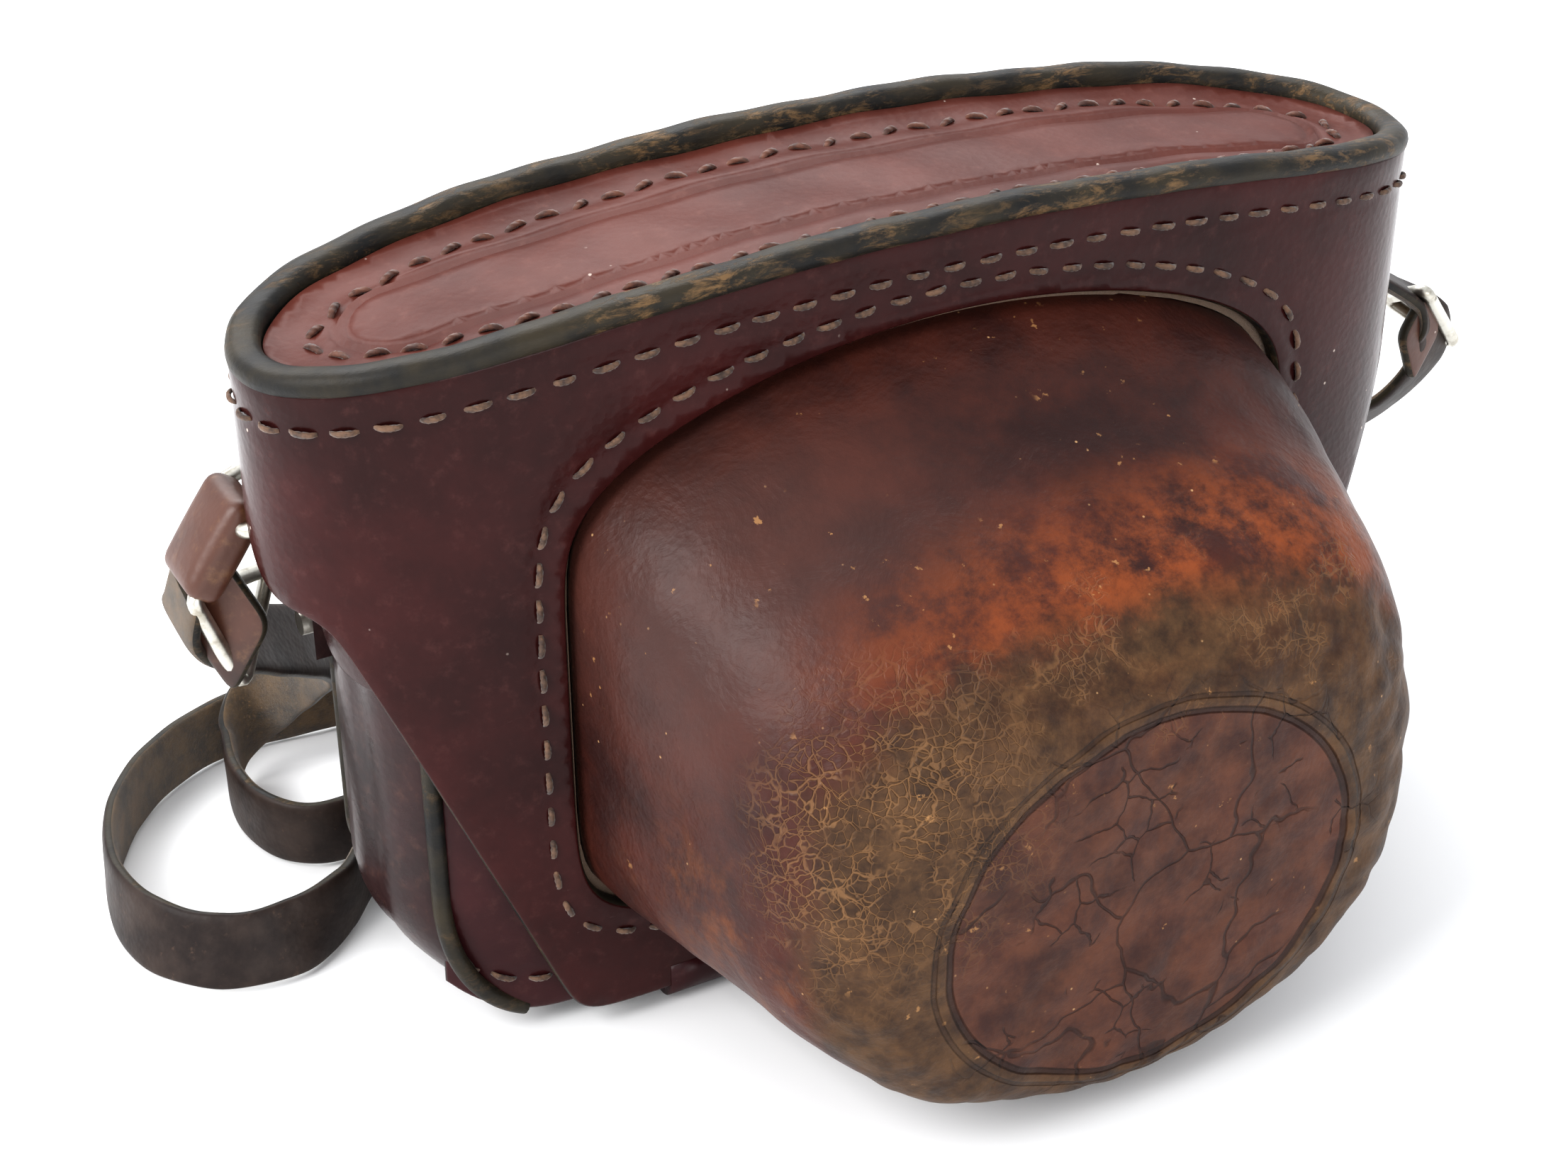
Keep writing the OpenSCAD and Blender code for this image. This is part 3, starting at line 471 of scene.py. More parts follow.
# ---------------------------------------------------------------- materials
class Look:
    """A small builder for procedural materials, working in millimetres of the object's own space."""

    def __init__(self, name):
        self.m = bpy.data.materials.new(name)
        self.m.use_nodes = True
        self.t = self.m.node_tree
        self.bsdf = self.t.nodes["Principled BSDF"]
        self.coord = self.t.nodes.new("ShaderNodeTexCoord").outputs["Object"]

    def node(self, kind, **values):
        n = self.t.nodes.new(kind)
        for k, v in values.items():
            setattr(n, k, v)
        return n

    def link(self, a, b):
        self.t.links.new(a, b)

    def stretch(self, scale):
        n = self.node("ShaderNodeMapping")
        self.link(self.coord, n.inputs["Vector"])
        n.inputs["Scale"].default_value = scale
        return n.outputs[0]

    def noise(self, size_mm, detail=4, rough=0.55, distort=0.0, vector=None):
        n = self.node("ShaderNodeTexNoise")
        n.inputs["Scale"].default_value = 1 / (size_mm * MM)
        n.inputs["Detail"].default_value = detail
        n.inputs["Roughness"].default_value = rough
        n.inputs["Distortion"].default_value = distort
        self.link(vector or self.coord, n.inputs["Vector"])
        return n.outputs["Fac"]

    def spots(self, low, high, *pattern):
        """A mask from noise: 0 below low, 1 above high."""
        return self.fade(self.noise(*pattern), low, high)

    def cells(self, size_mm, feature="F1", vector=None, randomness=1.0):
        n = self.node("ShaderNodeTexVoronoi", feature=feature)
        n.inputs["Scale"].default_value = 1 / (size_mm * MM)
        n.inputs["Randomness"].default_value = randomness
        self.link(vector or self.coord, n.inputs["Vector"])
        return n.outputs["Distance"]

    def mix(self, fac, a, b):
        n = self.node("ShaderNodeMix", data_type="RGBA")
        ins = [s for s in n.inputs if s.enabled]
        for sock, value in zip(ins, (fac, a, b)):
            if hasattr(value, "is_output"):
                self.link(value, sock)
            elif np.isscalar(value):
                sock.default_value = value if sock.type == "VALUE" else (value, value, value, 1)
            else:
                sock.default_value = (*value, 1)
        return [o for o in n.outputs if o.enabled][0]

    def math(self, op, a, b=0.0):
        n = self.node("ShaderNodeMath", operation=op)
        for sock, value in zip(n.inputs, (a, b)):
            if hasattr(value, "is_output"):
                self.link(value, sock)
            else:
                sock.default_value = value
        return n.outputs[0]

    def axis(self, k):
        n = self.node("ShaderNodeSeparateXYZ")
        self.link(self.coord, n.inputs[0])
        return n.outputs[k]

    def near(self, centre, radii, soft=0.5):
        """1 inside an ellipsoid, fading to 0 outside; centre and radii in millimetres."""
        n = self.node("ShaderNodeMapping", vector_type="POINT")
        self.link(self.coord, n.inputs["Vector"])
        scale = [1 / (r * MM) for r in radii]
        n.inputs["Scale"].default_value = scale
        n.inputs["Location"].default_value = [-c * MM * s for c, s in zip(centre, scale)]
        d = self.node("ShaderNodeVectorMath", operation="LENGTH")
        self.link(n.outputs[0], d.inputs[0])
        return self.fade(d.outputs["Value"], 1 + soft, 1 - soft)

    def ellipse(self, centre, radii):
        """Distance from an axis along Y, as a share of the ellipse's radii in X and Z."""
        n = self.node("ShaderNodeMapping", vector_type="POINT")
        self.link(self.coord, n.inputs["Vector"])
        scale = (1 / (radii[0] * MM), 0, 1 / (radii[1] * MM))
        n.inputs["Scale"].default_value = scale
        n.inputs["Location"].default_value = (-centre[0] * MM * scale[0], 0, -centre[1] * MM * scale[2])
        d = self.node("ShaderNodeVectorMath", operation="LENGTH")
        self.link(n.outputs[0], d.inputs[0])
        return d.outputs["Value"]

    def warped(self, size_mm, amount_mm):
        """The object's space, bent by noise."""
        n = self.node("ShaderNodeTexNoise")
        n.inputs["Scale"].default_value = 1 / (size_mm * MM)
        n.inputs["Detail"].default_value = 3
        self.link(self.coord, n.inputs["Vector"])
        centred = self.node("ShaderNodeVectorMath", operation="SUBTRACT")
        self.link(n.outputs["Color"], centred.inputs[0])
        centred.inputs[1].default_value = (0.5, 0.5, 0.5)
        scaled = self.node("ShaderNodeVectorMath", operation="SCALE")
        self.link(centred.outputs[0], scaled.inputs[0])
        scaled.inputs["Scale"].default_value = 2 * amount_mm * MM
        total = self.node("ShaderNodeVectorMath", operation="ADD")
        self.link(self.coord, total.inputs[0])
        self.link(scaled.outputs[0], total.inputs[1])
        return total.outputs[0]

    def product(self, *values):
        out = values[0]
        for value in values[1:]:
            out = self.math("MULTIPLY", out, value)
        return out

    def fade(self, value, zero_at, one_at):
        n = self.node("ShaderNodeMapRange", interpolation_type="SMOOTHSTEP")
        self.link(value, n.inputs["Value"])
        n.inputs["From Min"].default_value = zero_at
        n.inputs["From Max"].default_value = one_at
        return n.outputs["Result"]

    def bump(self, height, depth_mm, strength=1.0, under=None):
        n = self.node("ShaderNodeBump")
        n.inputs["Strength"].default_value = strength
        n.inputs["Distance"].default_value = depth_mm * MM
        self.link(height, n.inputs["Height"])
        if under is not None:
            self.link(under, n.inputs["Normal"])
        return n.outputs["Normal"]

    def done(self, color=None, rough=None, normal=None, metallic=0.0, sheen=0.0, spec=0.5):
        b = self.bsdf.inputs
        for value, name in ((color, "Base Color"), (rough, "Roughness"), (normal, "Normal")):
            if value is None:
                continue
            if hasattr(value, "is_output"):
                self.link(value, b[name])
            else:
                b[name].default_value = (*value, 1) if not np.isscalar(value) else value
        b["Metallic"].default_value = metallic
        b["Sheen Weight"].default_value = sheen
        b["Specular IOR Level"].default_value = spec
        return self.m


def polished_leather(name, base, dark, light, rough, grain=1.1, depth=0.05, dust=0.0, spec=0.5):
    """Smooth finished leather with cloudy colour, fine grain, pale scuffs and specks."""
    k = Look(name)
    cloud = k.noise(22, 5, 0.6)
    color = k.mix(k.fade(cloud, 0.3, 0.7), dark, base)
    fine = k.noise(2.2, 6, 0.7)
    color = k.mix(k.product(k.fade(fine, 0.5, 0.85), 0.35), color, light)
    scuff = k.noise(6, 8, 0.75, 0.6, k.stretch((1, 1, 3.2)))
    color = k.mix(k.product(k.fade(scuff, 0.66, 0.8), 0.3), color, light)
    speck = k.fade(k.cells(3.4), 0.075, 0.04)
    rare = k.spots(0.56, 0.62, 9, 2)
    color = k.mix(k.product(speck, rare, 0.75), color, (0.55, 0.46, 0.4))
    if dust:
        film = k.noise(34, 6, 0.65)
        color = k.mix(k.product(k.fade(film, 0.15, 0.8), dust), color, (0.42, 0.2, 0.17))
    r = k.mix(k.noise(5, 5), rough[0], rough[1])
    r = k.mix(k.product(k.fade(scuff, 0.6, 0.8), 0.5), r, 0.6)
    n1 = k.bump(k.cells(grain), depth, 0.5)
    n2 = k.bump(k.noise(grain * 0.5, 5), depth * 0.7, 0.5, n1)
    n3 = k.bump(k.noise(14, 3), 0.35, 0.25, n2)
    return k.done(color, r, n3, spec=spec)


def worn_leather(name):
    """Moulded leather: maroon above with a painted sheen at the upper left back, orange where rubbed, olive
    round the front, cracked inside the badge.
    """
    k = Look(name)
    y = k.axis(1)
    color = k.mix(k.spots(0.3, 0.7, 15, 6, 0.62), (0.022, 0.007, 0.006), (0.062, 0.016, 0.010))
    # painted sheen: the upper left back of the snout is lifted towards a paler mauve-brown where a satin
    # highlight falls
    color = k.mix(k.product(k.near((-30, -32, 62), (26, 20, 16), 0.6), 0.5), color, (0.085, 0.042, 0.035))
    patch = k.product(k.near((14, -54, 64), (40, 12, 12), 0.6), k.spots(0.36, 0.62, 8, 7, 0.72))
    color = k.mix(k.product(patch, 0.9), color, (0.21, 0.052, 0.014))
    side = k.product(k.near((-44, -46, 24), (10, 16, 18), 0.6), k.spots(0.45, 0.7, 6, 7, 0.7))
    color = k.mix(k.product(side, 0.6), color, (0.16, 0.05, 0.015))
    wob = k.math("ADD", y, k.product(k.noise(9, 6, 0.65), 0.008))
    band = k.fade(wob, -0.050, -0.0555)
    olive = k.mix(k.spots(0.3, 0.7, 4.5, 7, 0.7), (0.026, 0.014, 0.008), (0.1, 0.052, 0.022))
    color = k.mix(k.product(band, 0.88), color, olive)
    e = k.ellipse((1.2, 31.5), (27, 23.4))
    face = k.fade(y, -0.0565, -0.0585)
    badge = k.product(k.fade(e, 1.04, 0.97), face)
    inner = k.mix(k.spots(0.32, 0.68, 9, 6, 0.68), (0.04, 0.013, 0.011), (0.1, 0.031, 0.019))
    color = k.mix(k.product(badge, 0.7), color, inner)
    bent = k.warped(6, 2.2)
    bent_far = k.warped(14, 6)
    line1 = k.fade(k.cells(2.9, "DISTANCE_TO_EDGE", bent), 0.055, 0.012)
    line2 = k.fade(k.cells(1.3, "DISTANCE_TO_EDGE", bent), 0.09, 0.02)
    corner = k.product(k.near((-31, -58, 47), (17, 9, 17), 0.55), k.spots(0.38, 0.52, 7, 4, 0.6))
    along = k.product(k.near((10, -57, 58), (42, 8, 10), 0.6), k.spots(0.5, 0.6, 9, 4, 0.6))
    where = k.math("MAXIMUM", corner, k.product(along, 0.7))
    tan = k.product(k.math("MAXIMUM", line1, k.product(line2, 0.75)), where)
    color = k.mix(k.product(tan, 0.5), color, (0.25, 0.13, 0.055))
    speck = k.product(k.fade(k.cells(2.4), 0.085, 0.04), k.spots(0.54, 0.62, 6, 3))
    color = k.mix(k.product(speck, 0.8), color, (0.42, 0.25, 0.12))
    flake = k.product(k.spots(0.66, 0.7, 1.7, 5, 0.6), k.spots(0.5, 0.58, 13, 3))
    color = k.mix(k.product(flake, 0.6), color, (0.38, 0.2, 0.08))
    long_crack = k.fade(k.cells(17, "DISTANCE_TO_EDGE", bent_far), 0.016, 0.003)
    long_crack = k.product(long_crack, k.spots(0.38, 0.5, 20, 3))
    short_crack = k.fade(k.cells(6, "DISTANCE_TO_EDGE", bent), 0.028, 0.006)
    short_crack = k.product(short_crack, k.spots(0.55, 0.6, 10, 3))
    creases = k.product(k.math("MAXIMUM", long_crack, short_crack), face, k.fade(e, 1.25, 0.95))
    color = k.mix(k.product(creases, 0.65), color, (0.014, 0.006, 0.005))
    ring1 = k.fade(k.math("ABSOLUTE", k.math("SUBTRACT", e, 1.0)), 0.022, 0.008)
    ring2 = k.fade(k.math("ABSOLUTE", k.math("SUBTRACT", e, 1.075)), 0.016, 0.006)
    rings = k.product(k.math("MAXIMUM", ring1, k.product(ring2, 0.6)), face)
    color = k.mix(k.product(rings, 0.7), color, (0.014, 0.006, 0.005))
    rough = k.mix(k.noise(3, 6, 0.6), 0.3, 0.5)
    rough = k.mix(k.product(band, 0.4), rough, 0.62)
    n1 = k.bump(k.cells(0.85), 0.07, 0.6)
    n1 = k.bump(k.noise(1.3, 6, 0.72), 0.12, 0.55, n1)
    n1 = k.bump(k.math("MAXIMUM", tan, creases), -0.35, 0.7, n1)
    n1 = k.bump(rings, -0.5, 0.9, n1)
    n1 = k.bump(k.noise(8, 6, 0.7, 0.8), 0.7, 0.35, n1)
    return k.done(color, rough, n1, spec=0.2)


def edge_leather(name, worn):
    """Dark dyed cut edge, rubbed back to tan."""
    k = Look(name)
    rubbed = k.spots(0.48, 0.66, 1.4, 7, 0.75, 0.4, k.stretch((0.35, 1, 1)))
    wear = k.product(rubbed, k.spots(0.4, 0.62, 17, 3))
    color = k.mix(k.spots(0.3, 0.7, 7, 5), (0.009, 0.009, 0.009), (0.032, 0.025, 0.015))
    color = k.mix(k.product(wear, worn), color, (0.17, 0.1, 0.045))
    n1 = k.bump(k.noise(0.8, 6, 0.7, 0, k.stretch((0.4, 1, 1))), 0.12, 0.7)
    return k.done(color, k.mix(k.noise(4), 0.34, 0.55), k.bump(wear, -0.1, 0.5, n1), spec=0.22)


def suede(name):
    k = Look(name)
    color = k.mix(k.spots(0.3, 0.7, 4, 7, 0.7), (0.03, 0.018, 0.008), (0.12, 0.066, 0.022))
    color = k.mix(k.spots(0.55, 0.75, 0.5, 4, 0.8), color, (0.2, 0.115, 0.045))
    n1 = k.bump(k.noise(0.35, 6, 0.85), 0.25, 1.0)
    return k.done(color, 0.95, n1, sheen=0.3)


def strap_leather(name):
    k = Look(name)
    color = k.mix(k.spots(0.3, 0.7, 9, 6, 0.65), (0.014, 0.009, 0.008), (0.04, 0.027, 0.022))
    color = k.mix(k.spots(0.58, 0.78, 2.1, 8, 0.75), color, (0.09, 0.055, 0.038))
    n1 = k.bump(k.cells(0.8), 0.05, 0.6)
    return k.done(color, k.mix(k.noise(3, 5), 0.38, 0.6), k.bump(k.noise(5, 5), 0.25, 0.4, n1), spec=0.2)


def thread(name, dark, light):
    k = Look(name)
    color = k.mix(k.spots(0.35, 0.65, 1.6, 5, 0.7), dark, light)
    twist = k.node("ShaderNodeTexWave", wave_type="BANDS", bands_direction="DIAGONAL")
    twist.inputs["Scale"].default_value = 1 / (2.2 * MM)
    k.link(k.coord, twist.inputs["Vector"])
    return k.done(color, 0.75, k.bump(twist.outputs["Fac"], 0.12, 0.8), sheen=0.2)


def metal(name, color, rough, brushed=False, grime=0.3, worn=(0.2, 0.16, 0.1)):
    k = Look(name)
    base = k.mix(k.product(k.spots(0.45, 0.7, 3.5, 7, 0.7), grime), color, worn)
    vector = k.stretch((1, 1, 40)) if brushed else None
    r = k.mix(k.noise(2, 6, 0.7), rough * 0.75, min(1, rough * 1.5))
    n = k.bump(k.noise(0.6 if brushed else 1.4, 6, 0.7, 0, vector), 0.02, 0.4)
    return k.done(base, r, n, metallic=1.0)


def paint(name, color, rough, depth=0.03, grain=0.8):
    k = Look(name)
    lighter = tuple(min(1, c * 2.2 + 0.02) for c in color)
    base = k.mix(k.spots(0.5, 0.8, 6, 6, 0.7), color, lighter)
    sheen = k.mix(k.noise(3), rough * 0.8, min(1, rough * 1.3))
    return k.done(base, sheen, k.bump(k.noise(grain, 5), depth, 0.6))


def pebbled(name):
    k = Look(name)
    base = k.mix(k.fade(k.cells(1.1), 0.1, 0.6), (0.008, 0.008, 0.008), (0.03, 0.028, 0.027))
    return k.done(base, 0.5, k.bump(k.cells(1.1), 0.25, 0.9))


def felt(name, color):
    k = Look(name)
    pale = tuple(min(1, c * 2) for c in color)
    base = k.mix(k.noise(0.6, 6, 0.8), color, pale)
    return k.done(base, 0.95, k.bump(k.noise(0.4, 6, 0.85), 0.2, 0.9), sheen=0.4)


def glass(name):
    k = Look(name)
    tint = k.mix(k.noise(12, 2), (0.75, 0.85, 1.0), (0.85, 0.8, 1.0))
    m = k.done(tint, 0.03, None)
    k.bsdf.inputs["Transmission Weight"].default_value = 0.85
    k.bsdf.inputs["IOR"].default_value = 1.5
    k.link(k.bump(k.noise(20, 2), 0.01, 0.1), k.bsdf.inputs["Normal"])
    return m


WALL = polished_leather(
    "wall_leather", (0.042, 0.0085, 0.008), (0.019, 0.004, 0.0038), (0.11, 0.04, 0.035),
    (0.17, 0.27), spec=0.17,
)
TRAY_LOOK = polished_leather(
    "tray_leather", (0.098, 0.026, 0.018), (0.062, 0.0145, 0.010), (0.20, 0.085, 0.065),
    (0.34, 0.46), dust=0.05, spec=0.14,
)
PANEL = polished_leather(
    "panel_leather", (0.042, 0.009, 0.010), (0.022, 0.005, 0.006), (0.12, 0.05, 0.04),
    (0.24, 0.36), spec=0.2,
)
GUSSET = polished_leather(
    "gusset_leather", (0.035, 0.014, 0.014), (0.012, 0.008, 0.008), (0.13, 0.06, 0.04),
    (0.22, 0.36), spec=0.22,
)
SNOUT = worn_leather("snout_leather")
LINING = felt("flesh_side", (0.1, 0.06, 0.035))
EDGE = edge_leather("rim_edge", 0.85)
CUT = edge_leather("dark_edge", 0.35)
THREAD = thread("brown_thread", (0.035, 0.018, 0.012), (0.14, 0.075, 0.042))
RED_THREAD = thread("red_brown_thread", (0.045, 0.015, 0.009), (0.12, 0.042, 0.022))
CUT_EDGE = edge_leather("cut_edge", 1.0)
STRAP_OUT = strap_leather("strap_smooth")
STRAP_IN = suede("strap_suede")
KEEPER = polished_leather(
    "keeper_leather", (0.08, 0.028, 0.016), (0.02, 0.01, 0.008), (0.3, 0.16, 0.07), (0.35, 0.5),
)
NICKEL = metal("old_nickel", (0.62, 0.6, 0.54), 0.3, grime=0.6)
CHROME = metal("satin_chrome", (0.78, 0.78, 0.77), 0.28, grime=0.08, worn=(0.45, 0.42, 0.36))
KNURL = metal("knurled_chrome", (0.72, 0.72, 0.7), 0.34, brushed=True, grime=0.15)
STEEL = metal("machined_steel", (0.45, 0.45, 0.44), 0.35, brushed=True, grime=0.2)
BLACK = paint("black_enamel", (0.012, 0.012, 0.012), 0.35)
COVERING = pebbled("black_covering")
CLOTH = felt("shutter_cloth", (0.01, 0.01, 0.01))
FELT = felt("liner_felt", (0.05, 0.042, 0.035))
GLASS = glass("coated_glass")


CAD_LOOKS = {
    CHROME: [
        "top_cover", "bottom_plate", "release_button", "release_collar", "lens_mount", "lens_base",
        "accessory_shoe",
    ],
    KNURL: ["wind_knob", "rewind_knob", "speed_dial", "focus_ring", "aperture_ring", "lens_head"],
    STEEL: ["sprocket", "tripod_bush", "release_spring", "cartridge_spool", "film_cartridge"],
    BLACK: ["window_bezels", "eyepiece", "take_up_spool", "shutter_crate", "pressure_plate", "iris"],
    COVERING: ["body_shell", "back_door"],
    CLOTH: ["shutter_curtain"],
    FELT: ["base_liner"],
    GLASS: ["front_glass", "rear_glass", "viewfinder_window", "rangefinder_window"],
    NICKEL: ["screw_grommet", "retaining_screw", "stud_post", "stud_cap", "lug_rivets"],
    PANEL: ["hinge_tongue", "tab_anchor"],
    GUSSET: ["left_lug_tab", "right_lug_tab"],
    LINING: ["snout_flange"],
}
for look, names in CAD_LOOKS.items():
    for node_name in names:
        data = NODES[node_name].data
        data.materials.clear()
        data.materials.append(look)


# ---------------------------------------------------------------- the cover
case = Outline(CASE_A, CASE_B, CASE_BOW)
on_case = wall_place(case)


def arch_z(x, drop=0.0):
    """Height of the rim's arch above x."""
    return RIM_TOP - (RIM_R - np.sqrt(RIM_R**2 - np.asarray(x, float) ** 2)) - drop


def section(s, grow=0.0, count=240):
    """One section of the snout as x, z points, evenly spaced round it."""
    i = np.linspace(0, 1, 160)
    angles = []
    for q in range(4):
        n = s[5] if q < 2 else s[6]
        a = np.unique(np.concatenate([np.arccos(i ** (n / 2)), np.arcsin(i ** (n / 2))]))
        angles.append([a, math.pi - a, math.pi + a, 2 * math.pi - a][q])
    t = np.unique(np.round(np.concatenate(angles), 9))[:-1]
    c, k = np.cos(t), np.sin(t)
    n = np.where(t < math.pi, s[5], s[6])
    lo, hi = s[2] - grow, s[3] + grow
    w = max(s[1] + grow, 0.01)
    x = w * np.sign(c) * np.abs(c) ** (2 / n)
    z = (lo + hi) / 2 + (hi - lo) / 2 * np.sign(k) * np.abs(k) ** (2 / n)
    rise = (z - lo) / max(hi - lo, 0.01)
    z = z + s[4] * rise**2 * (1 - (x / w) ** 2)
    return evenly(np.stack([x + s[7], z], 1), count)


def evenly(loop, count):
    loop = np.concatenate([loop, loop[:1]])
    s = np.concatenate([[0], np.cumsum(np.linalg.norm(np.diff(loop, axis=0), axis=1))])
    t = np.linspace(0, s[-1], count + 1)[:-1]
    return np.stack([np.interp(t, s, loop[:, k]) for k in range(2)], 1)


def wall_low(u):
    """Lowest edge of the cover's wall at arc length u."""
    p, _ = case.at(u)
    x, y = abs(float(p[0])), float(p[1])
    if y > BACK_EDGE[0]:
        return BACK_EDGE[1]
    if y > END_EDGE_Y:
        share = (y - END_EDGE_Y) / (BACK_EDGE[0] - END_EDGE_Y)
        return FLAP_KNEE[1] + (BACK_EDGE[1] - FLAP_KNEE[1]) * share**2
    slope = FLAP_KNEE[1] / (FLAP_KNEE[0] - FLAP_FOOT)
    return min(FLAP_KNEE[1], max(SKIRT_Z, (x - FLAP_FOOT) * slope))


def smooth(line, sigma, spacing):
    """An open line with its corners rounded."""
    k = np.exp(-0.5 * (np.arange(-40, 41) * spacing / sigma) ** 2)
    k /= k.sum()
    pad = np.concatenate([np.repeat(line[:1], 40, 0), line, np.repeat(line[-1:], 40, 0)])
    return np.stack([np.convolve(pad[:, c], k, "valid") for c in range(line.shape[1])], 1)


half_turn = case.total / 2
dense = np.linspace(-half_turn, half_turn, 2400)
low_line = resample(np.array([(u, wall_low(u)) for u in dense]), 0.8, ring=False)
low_line = smooth(low_line, 2.6, 0.8)
low_line[0] = (-half_turn, BACK_EDGE[1])
low_line[-1] = (half_turn, BACK_EDGE[1])
top_u = np.linspace(half_turn, -half_turn, 460)
top_line = np.stack([top_u, arch_z(case.at(top_u)[0][:, 0], 2.0)], 1)
rise = np.linspace(BACK_EDGE[1], top_line[0, 1], 10)[1:-1]
wall_loop = np.concatenate([
    low_line,
    np.stack([np.full(8, half_turn), rise], 1),
    top_line,
    np.stack([np.full(8, -half_turn), rise[::-1]], 1),
])
opening = section(STATIONS[0], 0.8, 300)
hole = np.stack([case.front(opening[:, 0]), opening[:, 1]], 1)
ring_line = section(STATIONS[0], 4.0, 400)
ring_uv = np.stack([case.front(ring_line[:, 0]), ring_line[:, 1]], 1)
ring_uv = np.concatenate([ring_uv, ring_uv[:1]])
rim_u = np.linspace(-half_turn, half_turn, 900)
rim_uv = np.stack([rim_u, arch_z(case.at(rim_u)[0][:, 0], 6.6)], 1)


def wall_relief(uv):
    d1 = distance(uv, rim_uv[::3])
    d2 = distance(uv, ring_uv[::2])
    d3 = distance(uv, np.concatenate([hole, hole[:1]])[::2])
    groove = -0.22 * np.exp(-((d1 / 0.9) ** 2)) - 0.22 * np.exp(-((d2 / 0.8) ** 2))
    lip = 0.3 * np.exp(-((d3 / 1.6) ** 2))
    waves = 0.22 * np.sin(uv[:, 0] * 0.11 + 1.3) * np.sin(uv[:, 1] * 0.09)
    return groove + lip + waves * np.clip((arch_z(0) - uv[:, 1]) / 30, 0, 1)


wall = leather(
    "cover_wall_skin", [wall_loop, hole], on_case, WALL, relief=wall_relief, edge=0.55, seam=half_turn,
)
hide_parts("cover_wall", "cover_left_end", "cover_right_end")

# the rim: wall and welt burnished together into one rounded edge
# across the rim, outwards and up, from its outer foot over the top to its inner foot
profile = np.array([
    (-0.25, -2.7), (0.12, -2.2), (0.22, -1.5), (0.05, -0.8), (-0.45, -0.25), (-1.1, -0.02),
    (-1.9, 0.05), (-2.7, -0.02), (-3.35, -0.3), (-3.75, -0.9), (-3.85, -1.8), (-3.8, -3.5),
    (-3.7, -8), (-2.2, -8), (-2.1, -4),
])
RIM_LOOSE = -3
rim_count = 560
rim_s = np.linspace(0, case.total, rim_count + 1)[:-1]
rim_p, rim_n = case.at(rim_s)
rim_z = arch_z(rim_p[:, 0])
verts, faces = [], []
for i in range(rim_count):
    wob = 0.16 * math.sin(rim_s[i] * 0.21) + 0.1 * math.sin(rim_s[i] * 0.57 + 2)
    for a, dz in profile:
        sway = wob if dz > RIM_LOOSE else 0
        verts.append((*(rim_p[i] + rim_n[i] * (a + 0.3 * sway)), rim_z[i] + dz + 0.7 * sway))
m = len(profile)
for i in range(rim_count):
    j = (i + 1) % rim_count
    for k in range(m):
        q = (k + 1) % m
        faces.append((i * m + k, j * m + k, j * m + q, i * m + q))
rim = make("rim_edge_band", verts, faces, EDGE)
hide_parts("rim_welt")

# the tray
tray_out = Outline(CASE_A - 3.9, CASE_B - 3.9, CASE_BOW)
tray_loop = tray_out.at(np.linspace(0, tray_out.total, 400)[:-1])[0]
row_out = Outline(CASE_A - 9, CASE_B - 8.6, 4.6)
row_line = row_out.at(np.linspace(0, row_out.total, 600))[0]
loop_a, loop_b = 65.5, 7.3
bend = np.linspace(-math.pi / 2, math.pi / 2, 40)
loop_line = np.concatenate([
    np.stack([loop_a - loop_b + loop_b * np.cos(bend), loop_b * np.sin(bend)], 1),
    -np.stack([loop_a - loop_b + loop_b * np.cos(bend), loop_b * np.sin(bend)], 1),
])
loop_line = resample(np.concatenate([loop_line, loop_line[:1]]), 1.0, ring=False)


def tray_place(uv, off):
    z = arch_z(uv[:, 0], TRAY)
    slope = -uv[:, 0] / np.sqrt(RIM_R**2 - uv[:, 0] ** 2)
    return np.stack([uv[:, 0] - off * slope, uv[:, 1], z + off], 1)


def tray_relief(uv):
    d_edge = distance(uv, np.concatenate([tray_loop, tray_loop[:1]])[::2])
    d_row = distance(uv, row_line[::2])
    d_loop = distance(uv, loop_line)
    up = 0.9 * np.exp(-((d_edge / 1.6) ** 2))
    sink = -0.3 * np.exp(-((d_row / 0.9) ** 2))
    double = -0.5 * np.exp(-(((d_loop - 0.65) / 0.33) ** 2)) + 0.14 * np.exp(-((d_loop / 0.3) ** 2))
    a, b = uv[:, 0], uv[:, 1]
    waves = 0.18 * np.sin(a * 0.13) * np.sin(b * 0.4 + 1) + 0.1 * np.sin(a * 0.41 + b * 0.3)
    return up + sink + double + waves


tray = leather(
    "top_tray_leather", [tray_loop], tray_place, TRAY_LOOK, edge=0.3, step=1.3, relief=tray_relief,
    lines=[(loop_line, 1.2)],
)
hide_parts("top_plate")
row_path = tray_place(row_line, tray_relief(row_line) + 0.1)
row_norm = np.tile((0.0, 0.0, 1.0), (len(row_line), 1))
tray_thread = stitches(
    "tray_stitches", row_path, row_norm, RED_THREAD, pitch=4.2, size=0.5, cover=0.78, lean=0.42, flip=True,
)



def row_on(outline, name, uv, pitch, jitter=0.06, cover=0.66, off=0.0):
    """A row of stitches on a wall that follows an outline."""
    _, n = outline.at(uv[:, 0])
    path = wall_place(outline)(uv, np.full(len(uv), off))
    return stitches(name, path, level(n), THREAD, pitch=pitch, cover=cover, jitter=jitter)


rim_thread = row_on(case, "wall_stitches", rim_uv, 4.8, jitter=0.05, off=-0.02)
ring_thread = row_on(case, "opening_stitches", ring_uv, 4.6)

# the snout
CAP = np.array([
    [64.3, 27.5, 11.0, 51.2, 0.4, 2.4, 2.1, 1.2],
    [64.6, 18, 18.3, 44.4, 0, 2.2, 2.0, 1.2],
    [64.7, 8, 25.6, 37.2, 0, 2, 2, 1.2],
    [64.7, 0.02, 31.38, 31.42, 0, 2, 2, 1.2],
])


